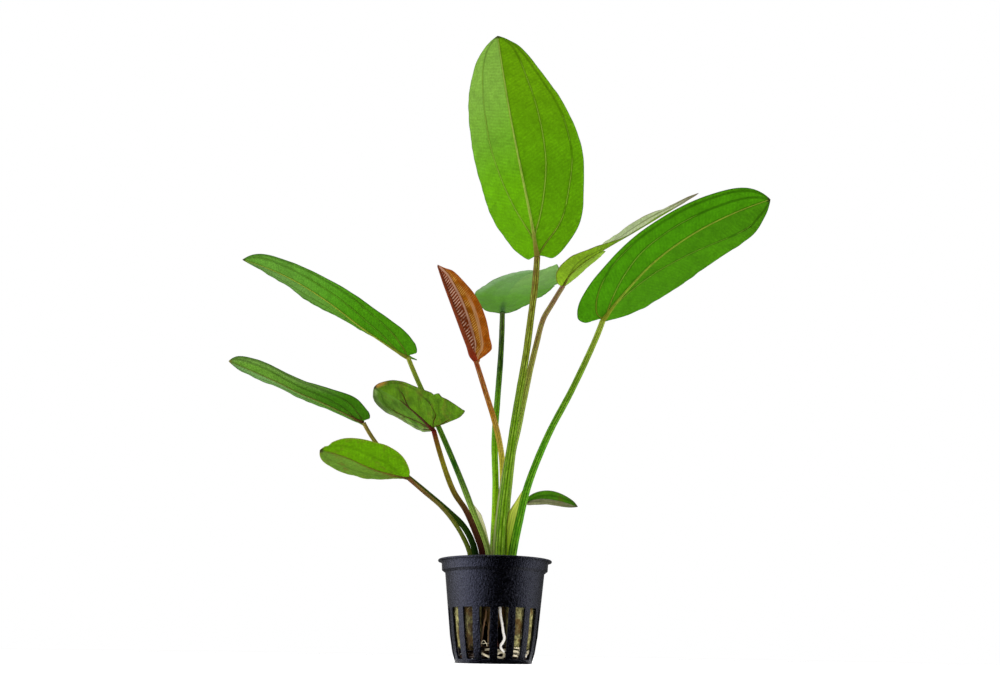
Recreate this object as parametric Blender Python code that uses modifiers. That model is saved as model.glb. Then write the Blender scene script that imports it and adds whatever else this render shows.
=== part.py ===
"""Potted echinodorus: a young sword plant with ten stalked leaves, in its net pot.

Lengths are in millimetres and MM turns them into metres. The origin is the centre of the
pot's flat underside, +Z is up, and the plant is seen from -Y.
"""
import math

import bmesh
import bpy
import numpy as np
from mathutils import Matrix

MM = 0.001
GAP = 0.3

# Net pot
POT_HEIGHT = 47.0
FLANGE_RADIUS = 27.5
FLANGE_THICKNESS = 0.9
BAND_RADIUS = 25.8
BAND_FOOT = 42.0
SHOULDER_RADIUS = 23.9
SHOULDER_HEIGHT = 40.8
BEND_RADIUS = 20.7
BEND_HEIGHT = 12.2
BASE_RADIUS = 18.1
WALL = 1.1
FLOOR = 1.2
TURN_STEPS = 48
SLOT_COUNT = 16
SLOT_FOOT = 1.9
SLOT_TOP = 24.5
SLOT_WIDTH_TOP = 5.1
SLOT_WIDTH_FOOT = 3.7
SLOT_DEPTH = 8.0
DRAIN_COUNT = 8
DRAIN_RADIUS = 1.6
DRAIN_CIRCLE = 11.0

# Rockwool, crown and roots
WOOL_FOOT = 7.4
WOOL_TOP = 43.0
WOOL_HOLE_RADIUS = 14.2
WOOL_GAP_ANGLE = 42.0
CROWN_TOP = 30.0
CROWN_RADIUS = 11.4
CROWN_FOOT = 16.0
MAT_FOOT = FLOOR + GAP
MAT_TOP = 7.0
MAT_HOLE_RADIUS = 6.0

# Leaves and stalks
BLADE_THICKNESS = 0.5
BLADE_ROWS = 12
HALF_BLADE_COLUMNS = 3
STALK_SIDES = 8
STALK_STEP = 11.0
STALK_FOOT = CROWN_TOP + GAP

# Each leaf: rib runs from the blade's base to its tip; face says which way the upper side
# looks at even steps along the rib; left and right are the margins as (along the rib, out
# from it); fold is how far the left and right halves rise from flat, at even steps; curl is
# the further rise out at the margins.
LEAVES = {
    "top": dict(
        rib=[(19, -30, 195), (15.5, -36, 213), (10, -42, 238), (4, -48, 267), (-3, -50, 313)],
        face=[(0.35, 0.9, 0.3), (0.35, 0.9, 0.2), (0.3, 0.95, 0.1)],
        left=[(0, 2.2), (-1.9, 8), (4.6, 16.9), (13.6, 24.4), (26, 28.8), (50, 33.2), (75, 29.4), (100, 19),
              (115, 10.2)],
        right=[(0.2, 2.2), (-0.6, 6.4), (9, 16.6), (30, 26.4), (60, 30.2), (85, 28.5), (105, 23),
               (118, 12.6)],
        fold=[(18, 18)], curl=(12, 12), green=(0.10, 0.31, 0.02)),
    "twisted": dict(
        rib=[(34.4, 4, 193.4), (39, -1.5, 199.3), (49.5, -15, 203), (72, -23, 214.5), (102.5, -32, 231.5)],
        face=[(0, 0, 1), (0.05, 0.08, 1), (-0.14, -0.2, 0.97), (-0.28, -0.42, 0.87), (-0.27, -0.4, 0.88)],
        left=[(0.7, 4), (7, 12.6), (25, 20.3), (47, 13.4), (68, 5), (83, 2.4)],
        right=[(0.7, 6.3), (7, 10.9), (25, 10.6), (47, 5.4), (68, 7.6), (83, 3.6)],
        fold=[(22, -24), (34, -15), (22, -12), (36, 1), (27, -4)], curl=(10, 10), green=(0.22, 0.32, 0.05)),
    "right": dict(
        rib=[(53, -16, 166), (64, -24, 179), (80, -34, 193.5), (102.5, -44, 206.5), (132.5, -52, 217.5)],
        face=[(-0.45, 0.8, 0.4), (-0.4, 0.85, 0.4), (-0.3, 0.85, 0.5)],
        left=[(1, 2.5), (11, 12.5), (28, 20.8), (48, 22.3), (70, 19.8), (90, 15.8), (99, 8)],
        right=[(0.3, 2.2), (-5.5, 6.9), (-5.6, 12), (3, 16.1), (25, 17), (55, 15.5), (80, 13), (95, 9)],
        fold=[(8, 8)], curl=(8, 8), green=(0.05, 0.26, 0.01)),
    "back": dict(
        rib=[(1.9, 16, 181.5), (3, 36, 197), (7, 56, 213), (15.5, 76, 230), (29, 92, 241)],
        face=[(0.45, -0.55, 0.7), (-0.25, -0.55, 0.8), (0, -0.55, 0.8)],
        left=[(-0.4, 6.5), (0.6, 9.2), (5, 11), (20, 15.6), (35, 18.7), (50, 17.5), (62, 14.8), (75, 11.2),
              (90, 6.8)],
        right=[(2, 5), (10, 12), (30, 23.6), (45, 29.4), (60, 29.8), (84, 22.6), (97, 13)],
        fold=[(-24, 30), (12, -6), (5, 27)], curl=(8, 8), green=(0.11, 0.33, 0.06)),
    "young": dict(
        rib=[(-11.5, -6, 146.5), (-17.9, -8, 161), (-24, -9, 176), (-28.9, -8, 188.5), (-33.2, -6, 200.4)],
        face=[(0.65, 0.65, 0.4), (0.87, 0.36, 0.35), (0.9, 0.35, 0.25)],
        left=[(0.4, 3), (1.9, 8.6), (4, 12.4), (10, 13), (20, 13.9), (32, 12.9), (42, 10), (50, 6.9),
              (54, 3.4)],
        right=[(0, 6.5), (6, 13), (18, 15), (32, 13.5), (45, 8.5), (53, 4)],
        fold=[(80, 58), (65, 63), (38, 47)], curl=(0, 0), green=(0.26, 0.06, 0.01)),
    "left_upper": dict(
        rib=[(-47.5, 4, 151), (-71.5, 8, 167.5), (-94.5, 11, 185.5), (-118.5, 13, 200.5), (-144, 14, 210.5)],
        face=[(0.47, 0.7, 0.5), (0.42, 0.77, 0.48), (0.28, 0.7, 0.66)],
        left=[(0.3, 2), (-3.5, 5.1), (-0.3, 9.2), (12, 12.5), (38, 13.2), (65, 11), (90, 8.5), (106, 6)],
        right=[(0.3, 2), (-3, 5), (0, 7.2), (12, 9.1), (38, 12.6), (65, 13.3), (90, 10.9), (106, 7)],
        fold=[(4, 69), (0, 48), (0, 27), (15, 46)], curl=(10, 10), green=(0.07, 0.27, 0.02)),
    "left": dict(
        rib=[(-68, 0, 114.5), (-89, -2, 124), (-101, -4, 128.5), (-114, -5, 134.5), (-138.5, -6, 144.5)],
        face=[(0.3, 0.75, 0.6)] * 3,
        left=[(0.3, 1.8), (-2, 4), (0, 7), (9, 10.5), (24, 9), (44, 7.1), (60, 7.5), (72, 5)],
        right=[(0.3, 1.8), (-2, 4), (0, 7.6), (9, 10.6), (24, 9), (44, 7.5), (60, 7), (72, 5)],
        fold=[(0, 44), (0, 36), (0, 30)], curl=(10, 10), green=(0.07, 0.26, 0.02)),
    "front": dict(
        rib=[(-30, -30, 104), (-35.5, -26, 110), (-42.2, -21, 116.6), (-50, -16, 123.6), (-62.2, -10, 131)],
        face=[(0.3, 0.6, 0.75)] * 3,
        left=[(0.3, 2), (-6, 8), (-16.5, 21.5), (-4, 19.9), (8, 16.2), (20, 12.9), (34, 8.6), (43, 3.6)],
        right=[(2, 2.5), (12, 10), (22, 14), (34, 16.5), (45, 16.1), (50, 11.6), (49, 5)],
        fold=[(10, 10)], curl=(0, 0), green=(0.08, 0.24, 0.03)),
    "left_low": dict(
        rib=[(-41.5, -24, 82), (-49.5, -28, 83), (-58.5, -32, 85), (-70.5, -36, 89.5), (-81, -40, 91.5)],
        face=[(0.3, 0.75, 0.6)] * 3,
        left=[(1, 4.5), (7, 10.5), (16, 13.4), (26, 12.1), (35, 8.9), (40, 4.9)],
        right=[(4, 2), (13, 7), (21, 10), (29, 13.1), (37, 10.8), (41.5, 6.8)],
        fold=[(8, 15)], curl=(8, 8), green=(0.10, 0.29, 0.02)),
    "small": dict(
        rib=[(14.5, 7, 76), (22, 9, 78.5), (30.5, 12, 78.4), (42, 16, 76.1)],
        face=[(-0.2, 0.8, 0.5)] * 3,
        left=[(2, 2), (8, 3.5), (17, 3), (25, 2)],
        right=[(2, 2), (8, 4), (16, 4.5), (25, 2.5)],
        fold=[(8, 8)], curl=(8, 8), green=(0.04, 0.15, 0.02)),
}

# Each stalk: path runs from the crown to the leaf; radius is at the foot, halfway and at the
# leaf; sheath is the clasping wing's direction seen from above in degrees, and its width at
# heights from the foot up.
STALKS = {
    "top": dict(
        path=[(2.2, -3.9), (2.2, -4, 50), (3.5, -4.5, 71), (6.2, -6, 95), (10, -10, 122),
              (14.05, -16, 147), (16.35, -21.3, 166), (18, -25.6, 180), (18.9, -29.6, 194)],
        radius=(2.5, 1.9, 1.55), colour=(0.13, 0.17, 0.03),
        sheath=(180, [(50, 1.3), (81, 0.9), (104, 0)])),
    "twisted": dict(
        path=[(4.7, 3.6), (4.8, 3.6, 51), (5.2, 3.6, 70), (6.7, 3.6, 89), (8.1, 3.6, 102), (10.6, 3.8, 114),
              (16.3, 5, 143.5), (20.2, 5.9, 161), (23.7, 5.8, 174.6), (28.1, 5.2, 182.7), (34.1, 4, 192.5)],
        radius=(1.6, 1.7, 1.3), colour=(0.13, 0.14, 0.03)),
    "right": dict(
        path=[(7.5, -1.9), (8.3, -2, 49), (11.5, -2.5, 66), (16.05, -3.5, 84.5), (25.7, -6, 108.5),
              (37.4, -9, 131), (48, -13, 153.5), (52.6, -15.7, 165)],
        radius=(2.2, 1.7, 1.45), colour=(0.13, 0.24, 0.03),
        sheath=(150, [(30, 0.8), (52, 1.5), (62, 4.7), (69, 5.5), (75, 2.6), (81, 0)])),
    "back": dict(
        path=[(-0.6, 4.7), (-0.7, 5, 51), (-0.2, 5, 82.5), (-1.1, 6, 108), (0, 8, 130.5),
              (1.4, 11, 156), (1.8, 15.4, 180.4)],
        radius=(1.7, 1.6, 1.4), colour=(0.06, 0.17, 0.03),
        sheath=(180, [(40, 0.5), (80, 0)])),
    "young": dict(
        path=[(2.3, 0.6), (2.4, 0.6, 50.5), (2.8, 0.5, 69), (3.1, 0.3, 88.5), (2, -1, 101),
              (-1, -3.5, 114), (-6.3, -5, 130.5), (-11.2, -5.9, 145.6)],
        radius=(1.3, 1.5, 1.25), colour=(0.27, 0.12, 0.03)),
    "left_upper": dict(
        path=[(-2.7, 1.4), (-3.6, 1.5, 50), (-11.5, 1.5, 71), (-17.8, 2, 86.5), (-25.1, 2.5, 103),
              (-33.3, 3, 120.5), (-42.4, 3.5, 139.5), (-47.3, 3.9, 150.2)],
        radius=(1.7, 1.4, 1.15), colour=(0.11, 0.22, 0.04),
        sheath=(0, [(30, 0.6), (50, 0.4), (56, 0.6), (62, 1.5), (68, 1.9), (74, 0)])),
    "front": dict(
        path=[(-4.9, -4.4), (-6.3, -5, 50), (-10.1, -7, 60.6), (-14.5, -11, 69.5), (-19.7, -15, 76.5),
              (-22.9, -19, 83), (-26.6, -24, 93), (-29.7, -29.4, 103.2)],
        radius=(1.7, 1.35, 1.1), colour=(0.10, 0.05, 0.02)),
    "left_low": dict(
        path=[(-9.4, -2.8), (-12.2, -3, 49.6), (-15.6, -4.5, 57.4), (-20.7, -8, 64.9),
              (-26.4, -12.5, 70.9), (-33.4, -18, 76), (-40.9, -23.3, 81.5)],
        radius=(1.35, 1.0, 0.85), colour=(0.14, 0.13, 0.03)),
    "left": dict(
        path=[(-7.4, 2.5), (-9.8, 2.5, 51), (-14.9, 3, 62.3), (-23.9, 4, 71.2), (-38.8, 4, 83.3),
              (-52, 3.5, 94), (-62, 2, 105.4), (-67.6, 0.4, 113.6)],
        radius=(1.7, 1.3, 0.95), colour=(0.12, 0.12, 0.03)),
    "small": dict(
        path=[(8.4, 4.7), (9.5, 5, 51), (10.2, 5.5, 62.4), (12.1, 6, 71.5), (14, 6.7, 75.2)],
        radius=(1.0, 0.95, 0.75), colour=(0.08, 0.13, 0.03)),
}

# Each root: its path from the crown down, its radius and its colour.
ROOTS = {
    "white": dict(
        path=[(4, -12.6, 24), (2.6, -16.6, 23), (2.9, -18.2, 18), (4.3, -18.1, 12), (4.7, -17.3, 7.4)],
        radius=0.65, colour=(0.72, 0.68, 0.56)),
    "tan_1": dict(
        path=[(-3.5, -12.6, 24), (-3.6, -16.8, 22.5), (-4.6, -18, 16), (-5.6, -17.2, 9), (-5.4, -16.6, 7.4)],
        radius=0.45, colour=(0.30, 0.16, 0.06)),
    "tan_2": dict(
        path=[(-1.5, -12.7, 22), (-2, -17.4, 18.5), (-2.4, -18.2, 13), (-2.4, -17.2, 7.4)],
        radius=0.4, colour=(0.28, 0.15, 0.06)),
    "red": dict(
        path=[(1, -12.6, 20), (1.6, -16.8, 16.5), (1.5, -17.6, 12), (1.9, -17, 7.4)],
        radius=0.3, colour=(0.20, 0.05, 0.02)),
}


def new_material(name, colour, roughness, specular=0.5):
    material = bpy.data.materials.new(name)
    material.use_nodes = True
    shader = material.node_tree.nodes["Principled BSDF"]
    shader.inputs["Base Color"].default_value = (*colour, 1.0)
    shader.inputs["Roughness"].default_value = roughness
    shader.inputs["Metallic"].default_value = 0.0
    shader.inputs["Specular IOR Level"].default_value = specular
    return material


def new_object(name, mesh, collection, material=None):
    piece = bpy.data.objects.new(name, mesh)
    collection.objects.link(piece)
    if material:
        mesh.materials.append(material)
    return piece


def mesh_from(name, points, faces):
    """A mesh from points in millimetres."""
    mesh = bpy.data.meshes.new(name)
    mesh.from_pydata([tuple(float(value) * MM for value in point) for point in points], [], faces)
    mesh.update()
    return mesh


def shade_round(mesh, angle=40):
    mesh.shade_smooth()
    mesh.set_sharp_from_angle(angle=math.radians(angle))


def turned(name, profile, collection, material, steps=TURN_STEPS):
    """A profile of (radius, height) points, turned round the vertical axis."""
    mesh = bpy.data.meshes.new(name)
    points = [(radius * MM, 0.0, height * MM) for radius, height in profile]
    edges = [(index, index + 1) for index in range(len(points) - 1)]
    mesh.from_pydata(points, edges, [])
    piece = new_object(name, mesh, collection, material)
    screw = piece.modifiers.new("turn", "SCREW")
    screw.axis = "Z"
    screw.angle = math.tau
    screw.steps = steps
    screw.render_steps = steps
    screw.use_merge_vertices = True
    screw.merge_threshold = 0.00001
    screw.use_smooth_shade = True
    return piece


def cut(piece, cutter):
    boolean = piece.modifiers.new("cut " + cutter.name, "BOOLEAN")
    boolean.operation = "DIFFERENCE"
    boolean.solver = "EXACT"
    boolean.object = cutter


def as_cutter(piece):
    piece.hide_render = True
    piece.display_type = "WIRE"
    return piece


def spline(points, count):
    """Evenly spaced samples of a smooth curve through points at any spacing."""
    points = np.asarray(points, float)
    keys = np.concatenate([[0], np.cumsum(np.linalg.norm(np.diff(points, axis=0), axis=1))])
    keys /= keys[-1]
    slope = np.empty_like(points)
    slope[1:-1] = (points[2:] - points[:-2]) / (keys[2:] - keys[:-2])[:, None]
    slope[0] = 2 * (points[1] - points[0]) / (keys[1] - keys[0]) - slope[1]
    slope[-1] = 2 * (points[-1] - points[-2]) / (keys[-1] - keys[-2]) - slope[-2]
    samples = []
    for place in np.linspace(0, 1, count):
        index = min(int(np.searchsorted(keys, place, side="right")) - 1, len(keys) - 2)
        span = keys[index + 1] - keys[index]
        t = (place - keys[index]) / span
        samples.append((2 * t**3 - 3 * t**2 + 1) * points[index]
                       + (t**3 - 2 * t**2 + t) * span * slope[index]
                       + (3 * t**2 - 2 * t**3) * points[index + 1]
                       + (t**3 - t**2) * span * slope[index + 1])
    return np.array(samples)


def unit(vectors):
    return vectors / np.linalg.norm(vectors, axis=-1, keepdims=True)


def along(values, places):
    """Values given at even steps from 0 to 1, read at places."""
    values = np.atleast_2d(np.asarray(values, float))
    steps = np.linspace(0, 1, len(values))
    return np.stack([np.interp(places, steps, column) for column in values.T], -1)


class Blade:
    """A leaf's flat outline bent onto its rib."""

    def __init__(self, leaf):
        self.leaf = leaf
        self.line = spline(leaf["rib"], 200)
        self.reach = np.concatenate([[0], np.cumsum(np.linalg.norm(np.diff(self.line, axis=0), axis=1))])
        self.length = self.reach[-1]
        self.headings = unit(np.gradient(self.line, axis=0))

    def read(self, rows, s):
        return np.stack([np.interp(s, self.reach, column) for column in rows.T], -1)

    def place(self, s, out, side):
        """Points at s along the rib and out from it, on side 0 (left) or 1 (right)."""
        held = np.clip(s, 0, self.length)
        heading = unit(self.read(self.headings, held))
        centre = self.read(self.line, held) + (s - held)[..., None] * heading
        face = along(self.leaf["face"], held / self.length)
        face = unit(face - (face * heading).sum(-1, keepdims=True) * heading)
        across = np.cross(heading, face)
        width = max(reach for _, reach in self.leaf[("left", "right")[side]])
        start = np.radians(along(self.leaf["fold"], held / self.length)[..., side])
        bend = math.radians(self.leaf["curl"][side]) + 0.0001
        turn = start + bend * out / width
        flat = width * (np.sin(turn) - np.sin(start)) / bend
        rise = width * (np.cos(start) - np.cos(turn)) / bend
        return centre + ((-1, 1)[side] * flat)[..., None] * across + rise[..., None] * face

    def half(self, rows, columns, side):
        """A grid of points from the rib out to the margin."""
        margin = self.leaf[("left", "right")[side]]
        edge = spline([(0, 0), *margin, (self.length, 0)], rows + 1)
        ribs = self.length * np.linspace(0, 1, rows + 1) ** 1.25
        share = np.linspace(0, 1, columns + 1)
        s = ribs[:, None] + (edge[:, 0] - ribs)[:, None] * share
        out = np.maximum(edge[:, 1], 0)[:, None] * share
        return self.place(s.ravel(), out.ravel(), side).reshape(rows + 1, columns + 1, 3)


def blade_surface(leaf, rows, columns):
    """Points and faces of the whole blade, closed to one point at its base and its tip."""
    blade = Blade(leaf)
    left = blade.half(rows, columns, 0)[:, ::-1]
    right = blade.half(rows, columns, 1)[:, 1:]
    grid = np.concatenate([left, right], axis=1)[1:-1]
    wide = grid.shape[1]
    points = [tuple(point) for point in grid.reshape(-1, 3)]
    base, tip = len(points), len(points) + 1
    points += [tuple(blade.line[0]), tuple(blade.line[-1])]
    last = (len(grid) - 1) * wide
    faces = []
    for column in range(wide - 1):
        faces.append((base, column + 1, column))
        faces.append((last + column, last + column + 1, tip))
        for row in range(len(grid) - 1):
            corner = row * wide + column
            faces.append((corner, corner + 1, corner + wide + 1, corner + wide))
    return points, faces


def make_leaf(name, leaf, collection):
    points, faces = blade_surface(leaf, BLADE_ROWS, HALF_BLADE_COLUMNS)
    mesh = mesh_from("leaf_" + name, points, faces)
    material = new_material("leaf " + name, leaf["green"], 0.45)
    shade_round(mesh, 60)
    piece = new_object("leaf_" + name, mesh, collection, material)
    shell = piece.modifiers.new("thickness", "SOLIDIFY")
    shell.thickness = BLADE_THICKNESS * MM
    shell.offset = 0
    return piece


def stalk_section(radius, wing):
    """Points round one section, (towards the wing, square to it)."""
    section = []
    for index in range(STALK_SIDES):
        angle = math.tau * index / STALK_SIDES
        reach = math.cos(angle) * radius
        if index == 0:
            reach += wing
        section.append((reach, math.sin(angle) * radius))
    return section


def make_stalk(name, stalk, collection):
    path = [(*stalk["path"][0], STALK_FOOT), *stalk["path"][1:]]
    length = np.linalg.norm(np.diff(np.asarray(path, float), axis=0), axis=1).sum()
    count = max(6, round(length / STALK_STEP)) + 1
    centres = spline(path, count)
    headings = unit(np.gradient(centres, axis=0))
    headings[0] = (0, 0, 1)
    foot, middle, top = stalk["radius"]
    direction, widths = stalk.get("sheath", (0, [(STALK_FOOT, 0)]))
    wings = np.interp(centres[:, 2], *zip(*widths))
    towards = np.array([math.cos(math.radians(direction)), math.sin(math.radians(direction)), 0])
    points = []
    for index, (centre, heading) in enumerate(zip(centres, headings)):
        radius = np.interp(index / (count - 1), (0, 0.5, 1), (foot, middle, top))
        out = unit(towards - (towards @ heading) * heading)
        square = np.cross(heading, out)
        for reach, depth in stalk_section(radius, wings[index]):
            points.append(centre + reach * out + depth * square)
    faces = [tuple(range(STALK_SIDES))[::-1]]
    for row in range(count - 1):
        for side in range(STALK_SIDES):
            a = row * STALK_SIDES + side
            b = row * STALK_SIDES + (side + 1) % STALK_SIDES
            faces.append((a, b, b + STALK_SIDES, a + STALK_SIDES))
    last = (count - 1) * STALK_SIDES
    faces.append(tuple(last + side for side in range(STALK_SIDES)))
    mesh = mesh_from("stalk_" + name, points, faces)
    shade_round(mesh)
    return new_object("stalk_" + name, mesh, collection, new_material("stalk " + name, stalk["colour"], 0.4))


def make_root(name, root, collection):
    curve = bpy.data.curves.new("root_" + name, "CURVE")
    curve.dimensions = "3D"
    curve.bevel_depth = root["radius"] * MM
    curve.bevel_resolution = 2
    curve.use_fill_caps = True
    samples = spline(root["path"], 9)
    line = curve.splines.new("POLY")
    line.points.add(len(samples) - 1)
    for point, sample in zip(line.points, samples):
        point.co = (*(sample * MM), 1)
    curve.materials.append(new_material("root " + name, root["colour"], 0.5))
    piece = bpy.data.objects.new("root_" + name, curve)
    collection.objects.link(piece)
    return piece


def turned_about(vertices, angle, radius):
    """Moves new vertices out along +X, then round the vertical axis."""
    step = Matrix.Rotation(angle, 4, "Z") @ Matrix.Translation((radius * MM, 0, 0))
    for vertex in vertices:
        vertex.co = step @ vertex.co


def slots_cutter(collection):
    """Blocks that cut the slots, each narrower at its foot."""
    mesh = bpy.data.meshes.new("slots")
    shape = bmesh.new()
    for index in range(SLOT_COUNT):
        vertices = bmesh.ops.create_cube(shape, size=1.0)["verts"]
        for vertex in vertices:
            low = vertex.co.z < 0
            width = SLOT_WIDTH_FOOT if low else SLOT_WIDTH_TOP
            height = SLOT_FOOT if low else SLOT_TOP
            vertex.co = (vertex.co.x * SLOT_DEPTH * MM, vertex.co.y * width * MM, height * MM)
        turned_about(vertices, math.tau * (index + 0.5) / SLOT_COUNT - math.pi / 2, BEND_RADIUS)
    shape.to_mesh(mesh)
    shape.free()
    return as_cutter(new_object("slots", mesh, collection))


def drains_cutter(collection):
    """Rods that cut the holes in the pot's floor."""
    mesh = bpy.data.meshes.new("drains")
    shape = bmesh.new()
    for index in range(DRAIN_COUNT):
        rod = bmesh.ops.create_cone(shape, cap_ends=True, segments=12, radius1=DRAIN_RADIUS * MM,
                                    radius2=DRAIN_RADIUS * MM, depth=4 * FLOOR * MM)
        turned_about(rod["verts"], math.tau * (index + 0.5) / DRAIN_COUNT, DRAIN_CIRCLE)
    shape.to_mesh(mesh)
    shape.free()
    return as_cutter(new_object("drains", mesh, collection))


def pot_outside():
    """Outer (radius, height) points under the flange, from the top down."""
    return [(BAND_RADIUS, POT_HEIGHT - FLANGE_THICKNESS), (BAND_RADIUS - 0.3, BAND_FOOT),
            (SHOULDER_RADIUS, SHOULDER_HEIGHT), (BEND_RADIUS, BEND_HEIGHT),
            (19.4, 5), (BASE_RADIUS, 0.6), (BASE_RADIUS - 0.5, 0)]


def pot_inside():
    """Inner (radius, height) points, from the floor up."""
    outside = pot_outside()
    inside = [(BASE_RADIUS - WALL, FLOOR)]
    inside += [(radius - WALL, height) for radius, height in outside[4:0:-1]]
    inside += [(BAND_RADIUS - WALL, POT_HEIGHT - 0.4), (BAND_RADIUS - WALL + 0.4, POT_HEIGHT)]
    return inside


def make_pot(collection, cutters):
    edge = [(FLANGE_RADIUS - 0.2, POT_HEIGHT), (FLANGE_RADIUS, POT_HEIGHT - 0.2),
            (FLANGE_RADIUS, POT_HEIGHT - FLANGE_THICKNESS)]
    profile = [(0, FLOOR), *pot_inside(), *edge, *pot_outside(), (0, 0)]
    material = new_material("black plastic", (0.012, 0.012, 0.014), 0.3)
    pot = turned("net_pot", profile, collection, material)
    cut(pot, slots_cutter(cutters))
    cut(pot, drains_cutter(cutters))
    return pot


def inner_radius(height):
    heights = [point[1] for point in pot_inside()]
    radii = [point[0] for point in pot_inside()]
    return float(np.interp(height, heights, radii))


def make_rockwool(collection, cutters):
    levels = [WOOL_TOP - 1.5, 39, BEND_HEIGHT, WOOL_FOOT + 0.8]
    outside = [(inner_radius(min(height, 39)) - GAP - 0.1, height) for height in levels]
    profile = [(WOOL_HOLE_RADIUS, WOOL_FOOT), (WOOL_HOLE_RADIUS, WOOL_TOP),
               (outside[0][0] - 1.5, WOOL_TOP), *outside,
               (outside[-1][0] - 1.2, WOOL_FOOT), (WOOL_HOLE_RADIUS, WOOL_FOOT)]
    wool = turned("rockwool", profile, collection, new_material("rockwool", (0.23, 0.22, 0.07), 0.9), 32)
    weld = wool.modifiers.new("weld", "WELD")
    weld.merge_threshold = 0.00001
    deep = FLANGE_RADIUS
    spread = math.tan(math.radians(WOOL_GAP_ANGLE / 2)) * deep
    wedge = [(0, 0), (spread, -deep), (-spread, -deep)]
    points = [(x, y, height) for height in (0, POT_HEIGHT) for x, y in wedge]
    faces = [(0, 1, 2), (5, 4, 3), (1, 0, 3, 4), (2, 1, 4, 5), (0, 2, 5, 3)]
    cutter = as_cutter(new_object("front_gap", mesh_from("front_gap", points, faces), cutters))
    cut(wool, cutter)
    return wool


def make_crown(collection):
    profile = [(0, CROWN_TOP), (CROWN_RADIUS - 0.8, CROWN_TOP), (CROWN_RADIUS, CROWN_TOP - 1.5),
               (CROWN_RADIUS - 1.5, CROWN_TOP - 6), (5.5, CROWN_FOOT + 2), (3, CROWN_FOOT), (0, CROWN_FOOT)]
    return turned("crown", profile, collection, new_material("crown", (0.20, 0.14, 0.06), 0.6), 24)


def make_root_mat(collection):
    profile = [(MAT_HOLE_RADIUS, MAT_FOOT + 1), (MAT_HOLE_RADIUS, MAT_TOP - 1),
               (MAT_HOLE_RADIUS + 1, MAT_TOP), (15.8, MAT_TOP), (16.9, MAT_TOP - 1.2),
               (16.2, MAT_FOOT + 0.8), (15.2, MAT_FOOT), (MAT_HOLE_RADIUS + 1, MAT_FOOT),
               (MAT_HOLE_RADIUS, MAT_FOOT + 1)]
    mat = turned("root_mat", profile, collection, new_material("root mat", (0.45, 0.38, 0.22), 0.7), 24)
    weld = mat.modifiers.new("weld", "WELD")
    weld.merge_threshold = 0.00001
    return mat


def main():
    for piece in list(bpy.data.objects):
        bpy.data.objects.remove(piece, do_unlink=True)
    parts = bpy.data.collections.new("potted_echinodorus")
    cutters = bpy.data.collections.new("cutters")
    bpy.context.scene.collection.children.link(parts)
    bpy.context.scene.collection.children.link(cutters)
    make_pot(parts, cutters)
    make_rockwool(parts, cutters)
    make_crown(parts)
    make_root_mat(parts)
    for name, root in ROOTS.items():
        make_root(name, root, parts)
    for name, stalk in STALKS.items():
        make_stalk(name, stalk, parts)
    for name, leaf in LEAVES.items():
        make_leaf(name, leaf, parts)


main()
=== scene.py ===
"""The looks of a potted echinodorus: veined blades, ridged stalks, net pot, rockwool and roots.

Lengths are in millimetres and MM turns them into metres. The plant stands on the origin, +Z is
up, and it is seen from -Y. Leaves, stalks, roots and pot repeat the part's driving sizes.
"""
import math

import bpy
import numpy as np
from mathutils import Matrix, Vector


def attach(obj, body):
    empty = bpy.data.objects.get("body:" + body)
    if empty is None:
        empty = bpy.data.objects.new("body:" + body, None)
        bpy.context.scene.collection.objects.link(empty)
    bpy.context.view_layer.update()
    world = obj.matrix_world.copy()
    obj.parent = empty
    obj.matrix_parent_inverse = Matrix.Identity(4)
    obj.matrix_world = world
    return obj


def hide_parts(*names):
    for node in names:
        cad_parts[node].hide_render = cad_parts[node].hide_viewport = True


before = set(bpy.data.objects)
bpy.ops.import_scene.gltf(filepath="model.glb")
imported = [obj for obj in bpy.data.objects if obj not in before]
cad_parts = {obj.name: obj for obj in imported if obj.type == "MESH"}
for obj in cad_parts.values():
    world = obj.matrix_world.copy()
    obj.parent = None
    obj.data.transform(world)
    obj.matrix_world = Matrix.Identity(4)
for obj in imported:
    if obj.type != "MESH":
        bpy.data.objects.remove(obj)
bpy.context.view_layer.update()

MM = 0.001

# Camera: where it stands, how far it looks up, how far the picture is turned, and its lens
CAMERA_PLACE = (0.83, -440.0, 5.4)
CAMERA_PITCH = 18.76
CAMERA_ROLL = 0.9
FOCAL_PIXELS = 887.0
PICTURE_WIDTH = 1000.0
SENSOR_WIDTH = 36.0

# Light: how strong the white room is as light, how much the floor glows, and how strong the room
# is in gloss at the left and at the right; the sector, in degrees from the front, that is dark in
# gloss, and how far its two edges fade out; where the room gets dim behind the plant, and how
# bright it stays there; the point that the light boxes look at, and the floor's radius
WORLD_LIGHT = 0.6
FLOOR_GLOW = 0.25
WORLD_GLOSS = (3.5, 1.8)
DARK_SECTOR = (-32.0, 60.0)
DARK_FADES = (13.0, 20.0)
DIM_BEHIND = (104.0, 122.0)
DIM_LEVEL = 0.06
LIGHT_TARGET = (0, 0, 150)
ROOM_FLOOR_RADIUS = 600

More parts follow.
